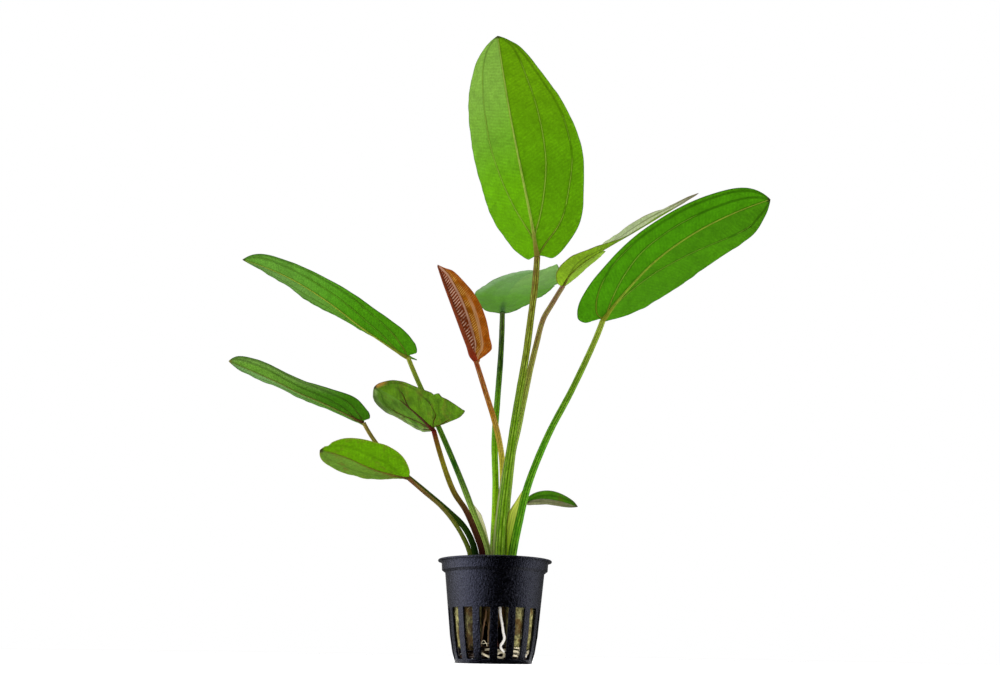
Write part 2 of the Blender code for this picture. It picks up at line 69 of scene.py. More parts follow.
# Blades: the sheet's grid and thickness, its veins, how far the tissue bulges between veins and
# waves, the cross veinlets' slope, usual (spacing, strength) and relief, and a distance that
# stands for nowhere near. MIDRIB_GIRTHS are (place along it, share of the radius at its foot)
BLADE_ROWS = 150
HALF_BLADE_COLUMNS = 22
RIB_PACE = 1.25
BLADE_THICKNESS = 0.34
MARGIN_THICKNESS = 0.16
VEIN_SIDES = 8
VEIN_STEP = 1.0
VEIN_RADII = (0.33, 0.25, 0.2)
MIDRIB_GIRTHS = ((0, 1), (0.06, 0.8), (0.15, 0.55), (0.4, 0.4), (0.8, 0.27), (1, 0.16))
BULGE = 0.24
BULGE_REACH = 2.4
MARGIN_WAVE = 0.45
FINE_WAVE = 0.12
LADDER_SLOPE = 0.5
LADDER = (1.9, 0.07)
LADDER_RELIEF = 0.008
FAR_OFF = 99.0

# Stalks: the foot's height, the mesh, the sheath's wing, and the furrows round the skin
STALK_FOOT = 30.3
STALK_SIDES = 32
STALK_ROW_STEP = 1.2
WING_COLUMNS = 6
WING_THICKNESS = 0.3
FURROWS = 9.0

# Net pot: its profile from the flange down, its wall and floor, the slots, and the drain holes
POT_HEIGHT = 47.0
FLANGE_RADIUS = 27.5
FLANGE_THICKNESS = 0.9
BAND_RADIUS = 25.8
BAND_FOOT = 42.0
SHOULDER_RADIUS = 23.9
SHOULDER_HEIGHT = 40.8
BEND_RADIUS = 20.7
BEND_HEIGHT = 12.2
BASE_RADIUS = 18.1
WALL = 1.1
POT_FLOOR = 1.2
SLOT_COUNT = 16
SLOT_PITCH = 360 / SLOT_COUNT
RING_STEPS = 5
SLOT_FOOT = 1.9
SLOT_TOP = 24.5
SLOT_WIDTH_TOP = 5.1
SLOT_WIDTH_FOOT = 3.7
DRAIN_COUNT = 8
DRAIN_RADIUS = 1.6
DRAIN_CIRCLE = 11.0

# Rockwool, crown and root mat. WOOL_PLAY is the wool's distance from the wall, WOOL_WIDEST the
# height above which it gets no wider, WOOL_BULGE how far it swells into a slot, and
# WOOL_SHADE_PLACES its places of painted shade as (direction, spread) in degrees. MAT_REACH is how
# near the axis and how far from it the coiled roots lie, and DARK_TONE is the tone of the dark ones
WOOL_FOOT = 7.4
WOOL_TOP = 43.0
WOOL_HOLE_RADIUS = 14.2
WOOL_GAP_ANGLE = 42.0
WOOL_PLAY = 0.4
WOOL_WIDEST = 39.0
WOOL_BULGE = 0.9
# directions where the wool takes painted shade
WOOL_SHADE_PLACES = ((237, 9), (297, 6))
WOOL_FIBRES = 1500
CROWN_TOP = 30.0
CROWN_RADIUS = 11.4
CROWN_FOOT = 16.0
MAT_FOOT = 1.6
MAT_TOP = 7.0
MAT_REACH = (6.8, 16.1)
MAT_STRANDS = 84
DARK_TONE = 1.3


def tint(red, green, blue):
    """A colour given as 0 to 255 on a screen, in the linear values that materials take."""
    shares = (value / 255 for value in (red, green, blue))
    return tuple(s / 12.92 if s <= 0.04045 else ((s + 0.055) / 1.055) ** 2.4 for s in shares)


# Side veins as (row, share of the half) from the base on.
INNER_VEIN = [(0.1, 0), (0.25, 0.28), (0.42, 0.42), (0.6, 0.5), (0.8, 0.6), (0.97, 0.72)]
OUTER_VEIN = [(0.03, 0.15), (0.1, 0.35), (0.2, 0.6), (0.3, 0.72), (0.45, 0.83), (0.7, 0.9)]
YOUNG_VEINS = [[(0.06, 0), (0.25, 0.3), (0.5, 0.37), (0.8, 0.48), (0.97, 0.6)],
               [(0.02, 0.25), (0.25, 0.6), (0.5, 0.69), (0.8, 0.78), (0.95, 0.84)]]

# Each leaf: rib runs from the blade's base to its tip; face says which way the upper side
# looks at even steps along the rib; left and right are the margins as (along the rib, out
# from it); fold is how far the left and right halves rise from flat, at even steps; curl is
# the further rise out at the margins; veins are the side veins of the left and right halves;
# nicks are torn or raised places of a margin as (side, along the rib, half width, depth);
# rib_girth scales the midrib's girth past its foot, rib_end is the share where it stops, and
# rows is the count of rows in the sheet's grid, where it isn't the usual one.
#
# In a look, halves are the underside's colours, where they differ the paler one with painted
# sheen in it, and upper is the upper side's; far takes over towards the tip, between the places
# far_at, mostly as painted sheen and on the twisted leaf as its own browner tip; pale is painted
# sheen along a margin as (half, colour, reach, and where it starts and ends); halo is how
# light the tissue stays in the painted shade beside a vein; ladder is the (spacing, strength) of
# the cross veinlets and relief their height; patches are painted light and shade of crumples, as
# lighter and darker places, and blotch is brown places; valley is painted shade in the
# groove at the base, in the base colour; stain is a brown left margin near the tip; vein,
# side_vein, margin, tip and base are those parts' colours; upper_vein is how much of the veins'
# colour shows on the upper side, and vein_girth scales the side veins.
LEAVES = {
    "top": dict(
        rib=[(19, -30, 195), (15.5, -36, 213), (10, -42, 238), (4, -48, 267), (-3, -50, 313)],
        face=[(0.35, 0.9, 0.3), (0.35, 0.9, 0.2), (0.3, 0.95, 0.1)],
        left=[(0, 2.2), (-1.9, 8), (4.6, 16.9), (13.6, 24.4), (26, 28.8), (50, 33.2), (75, 29.4), (100, 19),
              (115, 10.2)],
        right=[(0.2, 2.2), (-0.6, 6.4), (9, 16.6), (30, 26.4), (60, 30.2), (85, 28.5), (105, 23),
               (118, 12.6)],
        fold=[(18, 18)], curl=(12, 12),
        veins=([[(0.14, 0), (0.19, 0.11), (0.31, 0.28), (0.43, 0.39), (0.56, 0.46), (0.71, 0.54),
                 (0.82, 0.61), (0.95, 0.74)],
                [(0.04, 0.2), (0.09, 0.3), (0.19, 0.57), (0.29, 0.7), (0.42, 0.81), (0.6, 0.88)]],
               [[(0.1, 0), (0.25, 0.28), (0.41, 0.45), (0.54, 0.54), (0.66, 0.56), (0.79, 0.6),
                 (0.93, 0.73)]]),
        # far's second colour is painted sheen on that half
        look=dict(halves=(tint(96, 156, 8), tint(94, 154, 6)), far=(tint(110, 164, 10), tint(122, 164, 62)),
                  vein=tint(146, 172, 66), side_vein=tint(136, 172, 52), base=tint(116, 104, 40))),
    "twisted": dict(
        rib=[(34.4, 4, 193.4), (39, -1.5, 199.3), (49.5, -15, 203), (72, -23, 214.5), (102.5, -32, 231.5)],
        face=[(0, 0, 1), (0.05, 0.08, 1), (-0.14, -0.2, 0.97), (-0.28, -0.42, 0.87), (-0.27, -0.4, 0.88)],
        left=[(0.7, 4), (7, 12.6), (25, 20.3), (47, 13.4), (68, 5), (83, 2.4)],
        right=[(0.7, 6.3), (7, 10.9), (25, 10.6), (47, 5.4), (68, 7.6), (83, 3.6)],
        fold=[(22, -24), (34, -15), (22, -12), (36, 1), (27, -4)], curl=(10, 10), rib_girth=0.5,
        veins=([INNER_VEIN], [INNER_VEIN]),
        look=dict(halves=(tint(142, 178, 54), tint(144, 184, 36)), vein=tint(120, 134, 34), vein_girth=0.6,
                  margin=tint(104, 60, 40), upper=tint(196, 208, 160), ladder=(2.2, 0.08),
                  far=(tint(150, 140, 124), tint(150, 140, 124)), far_at=(0.76, 0.98),
                  tip=tint(110, 84, 80), base=tint(112, 108, 36))),
    "right": dict(
        rib=[(53, -16, 166), (64, -24, 179), (80, -34, 193.5), (102.5, -44, 206.5), (132.5, -52, 217.5)],
        face=[(-0.45, 0.8, 0.4), (-0.4, 0.85, 0.4), (-0.3, 0.85, 0.5)],
        left=[(1, 2.5), (11, 12.5), (28, 20.8), (48, 22.3), (70, 19.8), (90, 15.8), (99, 8)],
        right=[(0.3, 2.2), (-5.5, 6.9), (-5.6, 12), (3, 16.1), (25, 17), (55, 15.5), (80, 13), (95, 9)],
        fold=[(8, 8)], curl=(8, 8),
        veins=([[(0.08, 0), (0.27, 0.1), (0.4, 0.22), (0.56, 0.39), (0.7, 0.56), (0.86, 0.72)]],
               [[(0.04, 0), (0.19, 0.17), (0.32, 0.36), (0.46, 0.5), (0.6, 0.52), (0.8, 0.5)],
                [(0.04, 0.2), (0.06, 0.3), (0.17, 0.54), (0.25, 0.71), (0.34, 0.84), (0.5, 0.86)]]),
        look=dict(halves=(tint(70, 132, 8), tint(72, 142, 8)), vein=tint(132, 158, 44),
                  side_vein=tint(112, 154, 40), ladder=(1.8, 0.06), halo=0.6, base=tint(120, 128, 30))),
    "back": dict(
        rib=[(1.9, 16, 181.5), (3, 36, 197), (7, 56, 213), (15.5, 76, 230), (29, 92, 241)],
        face=[(0.45, -0.55, 0.7), (-0.25, -0.55, 0.8), (0, -0.55, 0.8)],
        left=[(-0.4, 6.5), (0.6, 9.2), (5, 11), (20, 15.6), (35, 18.7), (50, 17.5), (62, 14.8), (75, 11.2),
              (90, 6.8)],
        right=[(2, 5), (10, 12), (30, 23.6), (45, 29.4), (60, 29.8), (84, 22.6), (97, 13)],
        fold=[(-24, 30), (12, -6), (5, 27)], curl=(8, 8), rib_girth=0.35,
        nicks=[(1, 22.5, 1.6, 5), (1, 25.5, 1.6, -1), (1, 43.5, 1.3, 2), (1, 46, 1, -1.2)],
        veins=([INNER_VEIN], [INNER_VEIN, OUTER_VEIN]),
        # far and pale are painted sheen; base also colours the painted shade in the groove
        look=dict(halves=(tint(84, 142, 46), tint(84, 142, 46)), vein=tint(96, 148, 66),
                  upper=tint(88, 146, 30), far=(tint(112, 158, 84), tint(120, 162, 84)),
                  far_at=(0.25, 0.75), vein_girth=0.4, pale=(0, tint(140, 176, 124), 6, 0.25, 0.5),
                  ladder=(2.2, 0.04), base=tint(36, 82, 16), valley=0.9, halo=0.97, upper_vein=0.0)),
    "young": dict(
        rib=[(-11.5, -6, 146.5), (-17.9, -8, 161), (-24, -9, 176), (-28.9, -8, 188.5), (-33.2, -6, 200.4)],
        face=[(0.65, 0.65, 0.4), (0.87, 0.36, 0.35), (0.9, 0.35, 0.25)],
        left=[(0.4, 3), (1.9, 8.6), (4, 12.4), (10, 13), (20, 13.9), (32, 12.9), (42, 10), (50, 6.9),
              (54, 3.4)],
        right=[(0, 6.5), (6, 13), (18, 15), (32, 13.5), (45, 8.5), (53, 4)],
        fold=[(80, 58), (65, 63), (38, 47)], curl=(0, 0), rows=260, rib_girth=1.9,
        veins=(YOUNG_VEINS, YOUNG_VEINS),
        look=dict(vein=tint(116, 56, 30), tip=tint(60, 20, 16), margin=tint(150, 76, 34),
                  base=tint(120, 40, 20), relief=0.04, ladder=(1.6, 0.2))),
    "left_upper": dict(
        rib=[(-47.5, 4, 151), (-71.5, 8, 167.5), (-94.5, 11, 185.5), (-118.5, 13, 200.5),
             (-144, 14, 210.5)],
        face=[(0.47, 0.7, 0.5), (0.42, 0.77, 0.48), (0.28, 0.7, 0.66)],
        left=[(0.3, 2), (-3.5, 5.1), (-0.3, 9.2), (12, 12.5), (38, 13.2), (65, 11), (90, 8.5), (106, 6)],
        right=[(0.3, 2), (-3, 5), (0, 7.2), (12, 9.1), (38, 12.6), (65, 13.3), (90, 10.9), (106, 7)],
        fold=[(4, 69), (0, 48), (0, 27), (15, 46)], curl=(10, 10),
        veins=([INNER_VEIN, OUTER_VEIN], [INNER_VEIN, OUTER_VEIN]),
        # far is painted sheen towards the tip
        look=dict(halves=(tint(70, 136, 10), tint(84, 140, 28)), far=(tint(96, 150, 50), tint(98, 140, 64)),
                  vein=tint(140, 158, 48), side_vein=tint(86, 136, 24), ladder=(1.7, 0.07),
                  base=tint(120, 124, 40))),
    "left": dict(
        rib=[(-68, 0, 114.5), (-89, -2, 124), (-101, -4, 128.5), (-114, -5, 134.5), (-138.5, -6, 144.5)],
        face=[(0.3, 0.75, 0.6)],
        left=[(0.3, 1.8), (-2, 4), (0, 7), (9, 10.5), (24, 9), (44, 7.1), (60, 7.5), (72, 5)],
        right=[(0.3, 1.8), (-2, 4), (0, 7.6), (9, 10.6), (24, 9), (44, 7.5), (60, 7), (72, 5)],
        fold=[(0, 44), (0, 36), (0, 30)], curl=(10, 10),
        veins=([INNER_VEIN, OUTER_VEIN], [INNER_VEIN, OUTER_VEIN]),
        # the paler half, far and pale are painted sheen
        look=dict(halves=(tint(60, 116, 12), tint(92, 142, 48)),
                  far=(tint(98, 146, 46), tint(108, 150, 80)), far_at=(0.2, 0.7),
                  pale=(0, tint(108, 146, 66), 4.5, 0.15, 0.45),
                  vein=tint(112, 118, 48), side_vein=tint(70, 110, 24), ladder=(1.7, 0.07),
                  tip=tint(110, 100, 40), base=tint(84, 44, 28))),
    "front": dict(
        rib=[(-30, -30, 104), (-35.5, -26, 110), (-42.2, -21, 116.6), (-50, -16, 123.6), (-62.2, -10, 131)],
        face=[(0.3, 0.6, 0.75)],
        left=[(0.3, 2), (-6, 8), (-16.5, 21.5), (-4, 19.9), (8, 16.2), (20, 12.9), (34, 8.6), (43, 3.6)],
        right=[(2, 2.5), (12, 10), (22, 14), (34, 16.5), (45, 16.1), (50, 11.6), (49, 5)],
        fold=[(10, 10)], curl=(0, 0), rib_end=0.62, rib_girth=1.2,
        nicks=[(0, 3.2, 2.4, -1.1), (0, 6, 1.6, 0.6), (0, -16.4, 1.6, -0.8)],
        veins=([[(0.54, 0), (0.62, 0.03), (0.68, 0.12), (0.72, 0.26), (0.76, 0.48), (0.79, 0.66),
                 (0.8, 0.78)],
                [(0.02, 0.25), (0.1, 0.22), (0.2, 0.25), (0.28, 0.26), (0.35, 0.37), (0.41, 0.53),
                 (0.55, 0.7), (0.64, 0.85)],
                [(0.05, 0.8), (0.12, 0.76), (0.19, 0.73), (0.26, 0.71), (0.29, 0.76)]],
               [[(0.04, 0.1), (0.14, 0.3), (0.34, 0.38), (0.47, 0.54), (0.57, 0.7), (0.64, 0.79),
                 (0.71, 0.73), (0.78, 0.6), (0.86, 0.36)],
                [(0.03, 0.3), (0.1, 0.6), (0.22, 0.78), (0.36, 0.8), (0.5, 0.86)]]),
        # pale is painted sheen along a margin; patches are painted light and shade of crumples
        look=dict(halves=(tint(76, 114, 14), tint(78, 116, 30)), vein=tint(70, 42, 28), vein_girth=2.3,
                  margin=tint(74, 62, 36), stain=tint(176, 124, 60), patches=(170, 0.3),
                  ladder=(2.4, 0.06), blotch=0.3, pale=(1, tint(128, 154, 88), 6.5, -0.1, -0.05),
                  base=tint(70, 20, 15))),
    "left_low": dict(
        rib=[(-41.5, -24, 82), (-49.5, -28, 83), (-58.5, -32, 85), (-70.5, -36, 89.5), (-81, -40, 91.5)],
        face=[(0.3, 0.75, 0.6)],
        left=[(1, 4.5), (7, 10.5), (16, 13.4), (26, 12.1), (35, 8.9), (40, 4.9)],
        right=[(4, 2), (13, 7), (21, 10), (29, 13.1), (37, 10.8), (41.5, 6.8)],
        fold=[(8, 15)], curl=(8, 8), nicks=[(0, 41, 1.2, 1.2)],
        veins=([INNER_VEIN], [INNER_VEIN]),
        look=dict(halves=(tint(96, 152, 4), tint(98, 136, 40)), vein=tint(108, 92, 34),
                  side_vein=tint(80, 112, 10), halo=0.85, blotch=0.5, ladder=(1.7, 0.05), vein_girth=0.7,
                  margin=tint(140, 146, 44), base=tint(80, 60, 30))),
    "small": dict(
        rib=[(14.5, 7, 76), (22, 9, 78.5), (30.5, 12, 78.4), (42, 16, 76.1)],
        face=[(-0.2, 0.8, 0.5)],
        left=[(2, 2), (8, 3.5), (17, 3), (25, 2)],
        right=[(2, 2), (8, 4), (16, 4.5), (25, 2.5)],
        fold=[(8, 8)], curl=(8, 8),
        veins=([INNER_VEIN], [INNER_VEIN]),
        look=dict(halves=(tint(136, 138, 98), tint(68, 124, 14)), vein=tint(120, 120, 90), blotch=0.3,
                  ladder=(1.2, 0.12), base=tint(50, 50, 25))),
}

# Each stalk: path runs from the crown to the leaf; radius is at the foot, halfway and at the
# leaf; sheath is the clasping wing's direction seen from above in degrees, and its width at
# heights from the foot up; colours run from the foot to the leaf; ridge is the pale ridges'
# colour, their own with painted highlight, and furrow_shade how light the furrows stay in painted
# shade; veil is the sheath's colour at its foot and at its top; gloss is the skin's specular level.
STALKS = {
    "top": dict(
        path=[(2.2, -3.9), (2.2, -4, 50), (3.5, -4.5, 71), (6.2, -6, 95), (10, -10, 122),
              (14.05, -16, 147), (16.35, -21.3, 166), (18, -25.6, 180)],
        radius=(2.5, 1.9, 1.55), sheath=(180, [(50, 1.3), (81, 0.9), (104, 0)]),
        veil=(tint(150, 170, 90), tint(176, 190, 130)), ridge=tint(158, 186, 70),
        colours=[tint(82, 118, 4), tint(90, 136, 8), tint(96, 138, 14), tint(104, 104, 18),
                 tint(104, 82, 24)]),
    "twisted": dict(
        path=[(4.7, 3.6), (4.8, 3.6, 51), (5.2, 3.6, 70), (6.7, 3.6, 89), (8.1, 3.6, 102), (10.6, 3.8, 114),
              (16.3, 5, 143.5), (20.2, 5.9, 161), (23.7, 5.8, 174.6), (28.1, 5.2, 182.7)],
        radius=(1.6, 1.7, 1.3), ridge=tint(160, 184, 76), furrow_shade=0.7,
        colours=[tint(104, 140, 30), tint(108, 150, 36), tint(122, 146, 44), tint(128, 108, 52),
                 tint(140, 100, 80)]),
    "right": dict(
        path=[(7.5, -1.9), (8.3, -2, 49), (11.5, -2.5, 66), (16.05, -3.5, 84.5), (25.7, -6, 108.5),
              (37.4, -9, 131), (48, -13, 153.5)],
        radius=(2.2, 1.7, 1.45),
        sheath=(150, [(30, 0.8), (52, 1.5), (62, 4.7), (69, 5.5), (75, 2.6), (81, 0)]),
        veil=(tint(186, 240, 14), tint(240, 250, 110)), ridge=tint(140, 184, 44), furrow_shade=0.75,
        colours=[tint(90, 142, 14), tint(72, 136, 10), tint(70, 136, 14), tint(94, 128, 24),
                 tint(140, 152, 52)]),
    "back": dict(
        path=[(-0.6, 4.7), (-0.7, 5, 51), (-0.2, 5, 82.5), (-1.1, 6, 108), (0, 8, 130.5),
              (1.4, 11, 156)],
        radius=(1.7, 1.6, 1.4), sheath=(180, [(40, 0.5), (80, 0)]),
        veil=(tint(196, 204, 170), tint(150, 180, 110)), ridge=tint(110, 160, 40),
        colours=[tint(170, 190, 110), tint(166, 224, 26), tint(104, 166, 8), tint(32, 62, 8),
                 tint(62, 72, 30)]),
    "young": dict(
        path=[(2.3, 0.6), (2.4, 0.6, 50.5), (2.8, 0.5, 69), (3.1, 0.3, 88.5), (2, -1, 101),
              (-1, -3.5, 114), (-6.3, -5, 130.5)],
        radius=(1.3, 1.5, 1.25), ridge=tint(190, 160, 90),
        colours=[tint(180, 192, 66), tint(200, 208, 70), tint(200, 196, 62), tint(160, 96, 28),
                 tint(130, 48, 20)]),
    "left_upper": dict(
        path=[(-2.7, 1.4), (-3.6, 1.5, 50), (-11.5, 1.5, 71), (-17.8, 2, 86.5), (-25.1, 2.5, 103),
              (-33.3, 3, 120.5), (-42.4, 3.5, 139.5)],
        radius=(1.7, 1.4, 1.15),
        sheath=(0, [(30, 0.6), (50, 0.4), (56, 0.6), (62, 1.5), (68, 1.9), (74, 0)]),
        veil=(tint(250, 255, 160), tint(255, 255, 200)), ridge=tint(116, 156, 36),
        colours=[tint(240, 246, 170), tint(160, 192, 84), tint(26, 78, 6), tint(80, 118, 20),
                 tint(144, 150, 50)]),
    "front": dict(
        path=[(-4.9, -4.4), (-6.3, -5, 50), (-10.1, -7, 60.6), (-14.5, -11, 69.5), (-19.7, -15, 76.5),
              (-22.9, -19, 83), (-26.6, -24, 93)],
        radius=(1.7, 1.35, 1.1), ridge=tint(52, 22, 18), gloss=0.0,
        colours=[tint(36, 10, 10), tint(44, 14, 14), tint(78, 50, 28), tint(124, 120, 30),
                 tint(96, 26, 22)]),
    "left_low": dict(
        path=[(-9.4, -2.8), (-12.2, -3, 49.6), (-15.6, -4.5, 57.4), (-20.7, -8, 64.9),
              (-26.4, -12.5, 70.9), (-33.4, -18, 76)],
        radius=(1.35, 1.0, 0.85), ridge=tint(130, 130, 60),
        colours=[tint(30, 52, 8), tint(70, 96, 16), tint(100, 110, 26), tint(100, 82, 34),
                 tint(108, 60, 30)]),
    "left": dict(
        path=[(-7.4, 2.5), (-9.8, 2.5, 51), (-14.9, 3, 62.3), (-23.9, 4, 71.2), (-38.8, 4, 83.3),
              (-52, 3.5, 94), (-62, 2, 105.4)],
        radius=(1.7, 1.3, 0.95), ridge=tint(40, 62, 18), gloss=0.0,
        colours=[tint(18, 36, 10), tint(24, 50, 12), tint(50, 70, 14), tint(100, 100, 30),
                 tint(152, 134, 66)]),
    "small": dict(
        path=[(8.4, 4.7), (9.5, 5, 51), (10.2, 5.5, 62.4), (12.1, 6, 71.5)],
        radius=(1.0, 0.95, 0.75), ridge=tint(110, 130, 70),
        colours=[tint(90, 110, 50), tint(80, 110, 40), tint(70, 90, 30), tint(60, 80, 24),
                 tint(60, 70, 30)]),
}

# Each root: its path from the crown down, its radius, its colour, and where its brown starts.
ROOTS = {
    "white": dict(
        path=[(4, -12.6, 26), (2.6, -16.8, 26), (2.7, -18.4, 23.5), (3.3, -18.7, 19.5), (4.5, -18.7, 13),
              (4.9, -18.6, 11.2), (4.2, -18.4, 9.4), (3.3, -18.2, 7.9), (3.5, -18.1, 6.6),
              (5.0, -17.8, 5.2)],
        radius=0.65, colour=tint(252, 248, 240), stained=0.85),
    "tan_1": dict(
        path=[(-3.5, -12.6, 24), (-3.6, -16.8, 22.5), (-4.6, -18, 16), (-5.6, -17.2, 9),
              (-5.4, -16.6, 7.4)],
        radius=0.45, colour=tint(128, 96, 66)),
    "tan_2": dict(
        path=[(-1.5, -12.7, 22), (-2, -17.4, 18.5), (-2.4, -18.2, 13), (-2.4, -17.2, 7.4)],
        radius=0.4, colour=tint(110, 84, 50)),
    "red": dict(
        path=[(1, -12.6, 20), (1.6, -16.8, 16.5), (1.5, -17.6, 12), (1.9, -17, 7.4)],
        radius=0.3, colour=tint(96, 44, 24)),
}

# Pale roots that coil behind the slots: radius, then places as (degrees from the front,
# height, depth behind the wall).
PALE_COILS = [
    (0.55, [(5, 4, 2), (9, 4.8, 1.4), (14, 5, 1.2), (17, 4, 1.2), (15, 2.8, 1.2), (10, 2.6, 1.3),
            (6, 3.2, 1.8)]),
    (0.5, [(26, 7.3, 1.4), (33, 7.2, 0.6), (41, 6.8, 0.6), (47, 6.2, 1.6)]),
    (0.55, [(27, 5.5, 1.4), (34, 5.4, 0.5), (41, 5.0, 0.6), (47, 4.8, 1.6)]),
    (0.5, [(27, 3.7, 1.4), (34, 3.6, 0.5), (41, 3.3, 0.6), (46, 3.0, 1.6)]),
    (0.55, [(-18, 4.4, 1.2), (-12, 3.7, 0.6), (-6, 2.9, 0.6), (-1, 2.7, 1.2)]),
    (0.16, [(-19, 8.2, 0.8), (-14, 10, 0.3), (-12, 9.6, 0.3), (-9, 7.4, 0.7)]),
    (0.13, [(-20, 8.5, 0.8), (-13, 8.6, 0.2), (-7, 8.9, 0.6)]),
    (0.35, [(54, 2.9, 1.0), (60, 4.0, 0.4), (65, 5.8, 0.2), (69, 8.0, 0.5)]),
    (0.35, [(60, 5.0, 0.8), (65, 6.1, 0.1), (69, 6.3, -0.9)]),
    (0.25, [(-59, 9.8, 0.9), (-56, 8.2, 0.4), (-54, 6.6, 0.6)]),
    (0.22, [(-60, 7.4, 0.7), (-56, 8.0, 0.3), (-52, 8.2, 0.7)]),
]

# Dark roots that lie along the wall at the left: radius, then places as above.
DARK_COILS = [
    (0.8, [(-70, 6.3, 1.9), (-80, 6.4, 1.3), (-95, 6.2, 1.3), (-112, 6.0, 1.9)]),
    (0.8, [(-70, 4.8, 1.9), (-80, 4.6, 1.3), (-95, 4.9, 1.3), (-112, 4.6, 1.9)]),
    (0.8, [(-70, 3.1, 1.9), (-80, 3.2, 1.3), (-95, 3.1, 1.3), (-112, 3.3, 1.9)]),
    (0.75, [(-68, 2.8, 1.1), (-56, 2.7, 1.0), (-42, 2.8, 1.1), (-26, 2.7, 1.6)]),
    (0.7, [(-66, 3.9, 2.3), (-50, 4.1, 2.0), (-36, 3.9, 2.1), (-24, 4.1, 2.6)]),
]


# Curves and surfaces

def spline(points, count):
    """Evenly spaced samples of a smooth curve through points at any spacing."""
    points = np.asarray(points, float)
    keys = length_along(points)
    keys /= keys[-1]
    slope = np.empty_like(points)
    slope[1:-1] = (points[2:] - points[:-2]) / (keys[2:] - keys[:-2])[:, None]
    slope[0] = 2 * (points[1] - points[0]) / (keys[1] - keys[0]) - slope[1]
    slope[-1] = 2 * (points[-1] - points[-2]) / (keys[-1] - keys[-2]) - slope[-2]
    places = np.linspace(0, 1, count)
    index = np.minimum(np.searchsorted(keys, places, side="right") - 1, len(keys) - 2)
    span = (keys[index + 1] - keys[index])[:, None]
    t = (places - keys[index])[:, None] / span
    return ((2 * t**3 - 3 * t**2 + 1) * points[index] + (t**3 - 2 * t**2 + t) * span * slope[index]
            + (3 * t**2 - 2 * t**3) * points[index + 1] + (t**3 - t**2) * span * slope[index + 1])


def unit(vectors):
    """The vectors at length one."""
    return vectors / np.maximum(np.linalg.norm(vectors, axis=-1, keepdims=True), 1e-12)


def along(values, places):
    """Values given at even steps from 0 to 1, read at places."""
    values = np.atleast_2d(np.asarray(values, float))
    steps = np.linspace(0, 1, len(values))
    return np.stack([np.interp(places, steps, column) for column in values.T], -1)


def length_along(points):
    """How far along a line each of its points is."""
    steps = np.linalg.norm(np.diff(np.asarray(points, float), axis=0), axis=1)
    return np.concatenate([[0], np.cumsum(steps)])


def full_turn(count):
    """Evenly spaced angles of one turn."""
    return np.linspace(0, math.tau, count, endpoint=False)


def around(radius, angles, heights):
    """Points at a radius, in directions as seen from above, and at heights."""
    radius, angles, heights = np.broadcast_arrays(radius, angles, heights)
    return np.stack([radius * np.cos(angles), radius * np.sin(angles), heights], -1)


def waves(places, seed, longest):
    """A smooth random wander along places, from -1 to 1; longest is its longest wave."""
    chance = np.random.default_rng(seed)
    total = np.zeros_like(places, dtype=float)
    for order in range(1, 6):
        total += np.sin(places * math.tau * order / longest + chance.uniform(0, math.tau)) / order
    return total / 2.3


def linked(name, data):
    """A new object for the data, in the scene."""
    made = bpy.data.objects.new(name, data)
    bpy.context.scene.collection.objects.link(made)
    return made


class Shape:
    """Points, faces and values per point, gathered for one mesh."""

    def __init__(self):
        self.points = []
        self.faces = []
        self.values = []
        self.count = 0

    def add(self, points, faces, **values):
        """Takes in points with their faces, and values that are one for all or one for each."""
        points = np.asarray(points, float).reshape(-1, 3)
        self.faces += [tuple(int(corner) + self.count for corner in face) for face in faces]
        self.points.append(points)
        self.values.append({name: np.broadcast_to(np.ravel(value), len(points))
                            for name, value in values.items()})
        self.count += len(points)

    def build(self, name, material, sharp=None):
        """The finished object, with one float attribute for each kind of value."""
        mesh = bpy.data.meshes.new(name)
        mesh.from_pydata((np.concatenate(self.points) * MM).tolist(), [], self.faces)
        for kind in sorted({kind for values in self.values for kind in values}):
            rows = [values.get(kind, np.zeros(len(points)))
                    for values, points in zip(self.values, self.points)]
            mesh.attributes.new(kind, "FLOAT", "POINT").data.foreach_set("value", np.concatenate(rows))
        mesh.shade_smooth()
        if sharp:
            mesh.set_sharp_from_angle(angle=math.radians(sharp))
        mesh.materials.append(material)
        return linked(name, mesh)


def loft(sections):
    """Points and faces of a closed skin over rings of points, capped at both ends."""
    rows, sides, _ = sections.shape
    faces = [tuple(range(sides))[::-1]]
    for row in range(rows - 1):
        for side in range(sides):
            a = row * sides + side
            b = row * sides + (side + 1) % sides
            faces.append((a, b, b + sides, a + sides))
    faces.append(tuple((rows - 1) * sides + side for side in range(sides)))
    return sections.reshape(-1, 3), faces


def carried_frames(line):
    """Two square directions at each point of a line, turned as little as possible on the way."""
    headings = unit(np.gradient(line, axis=0))
    first = np.cross(headings[0], (0.3, 0.9, 0.2))
    outs = [first / np.linalg.norm(first)]
    for heading in headings[1:]:
        out = outs[-1] - (outs[-1] @ heading) * heading
        outs.append(out / np.linalg.norm(out))
    outs = np.array(outs)
    return outs, np.cross(headings, outs)


def rings(outs, squares, angles):
    """Directions at the angles round each point of a line, from its two square directions."""
    return np.cos(angles)[None, :, None] * outs[:, None] + np.sin(angles)[None, :, None] * squares[:, None]


def tube(line, radius, sides=VEIN_SIDES):
    """A round closed tube along a line; radius is one value or one for each point."""
    line = np.asarray(line, float)
    radius = np.broadcast_to(radius, len(line))[:, None, None]
    return loft(line[:, None] + radius * rings(*carried_frames(line), full_turn(sides)))


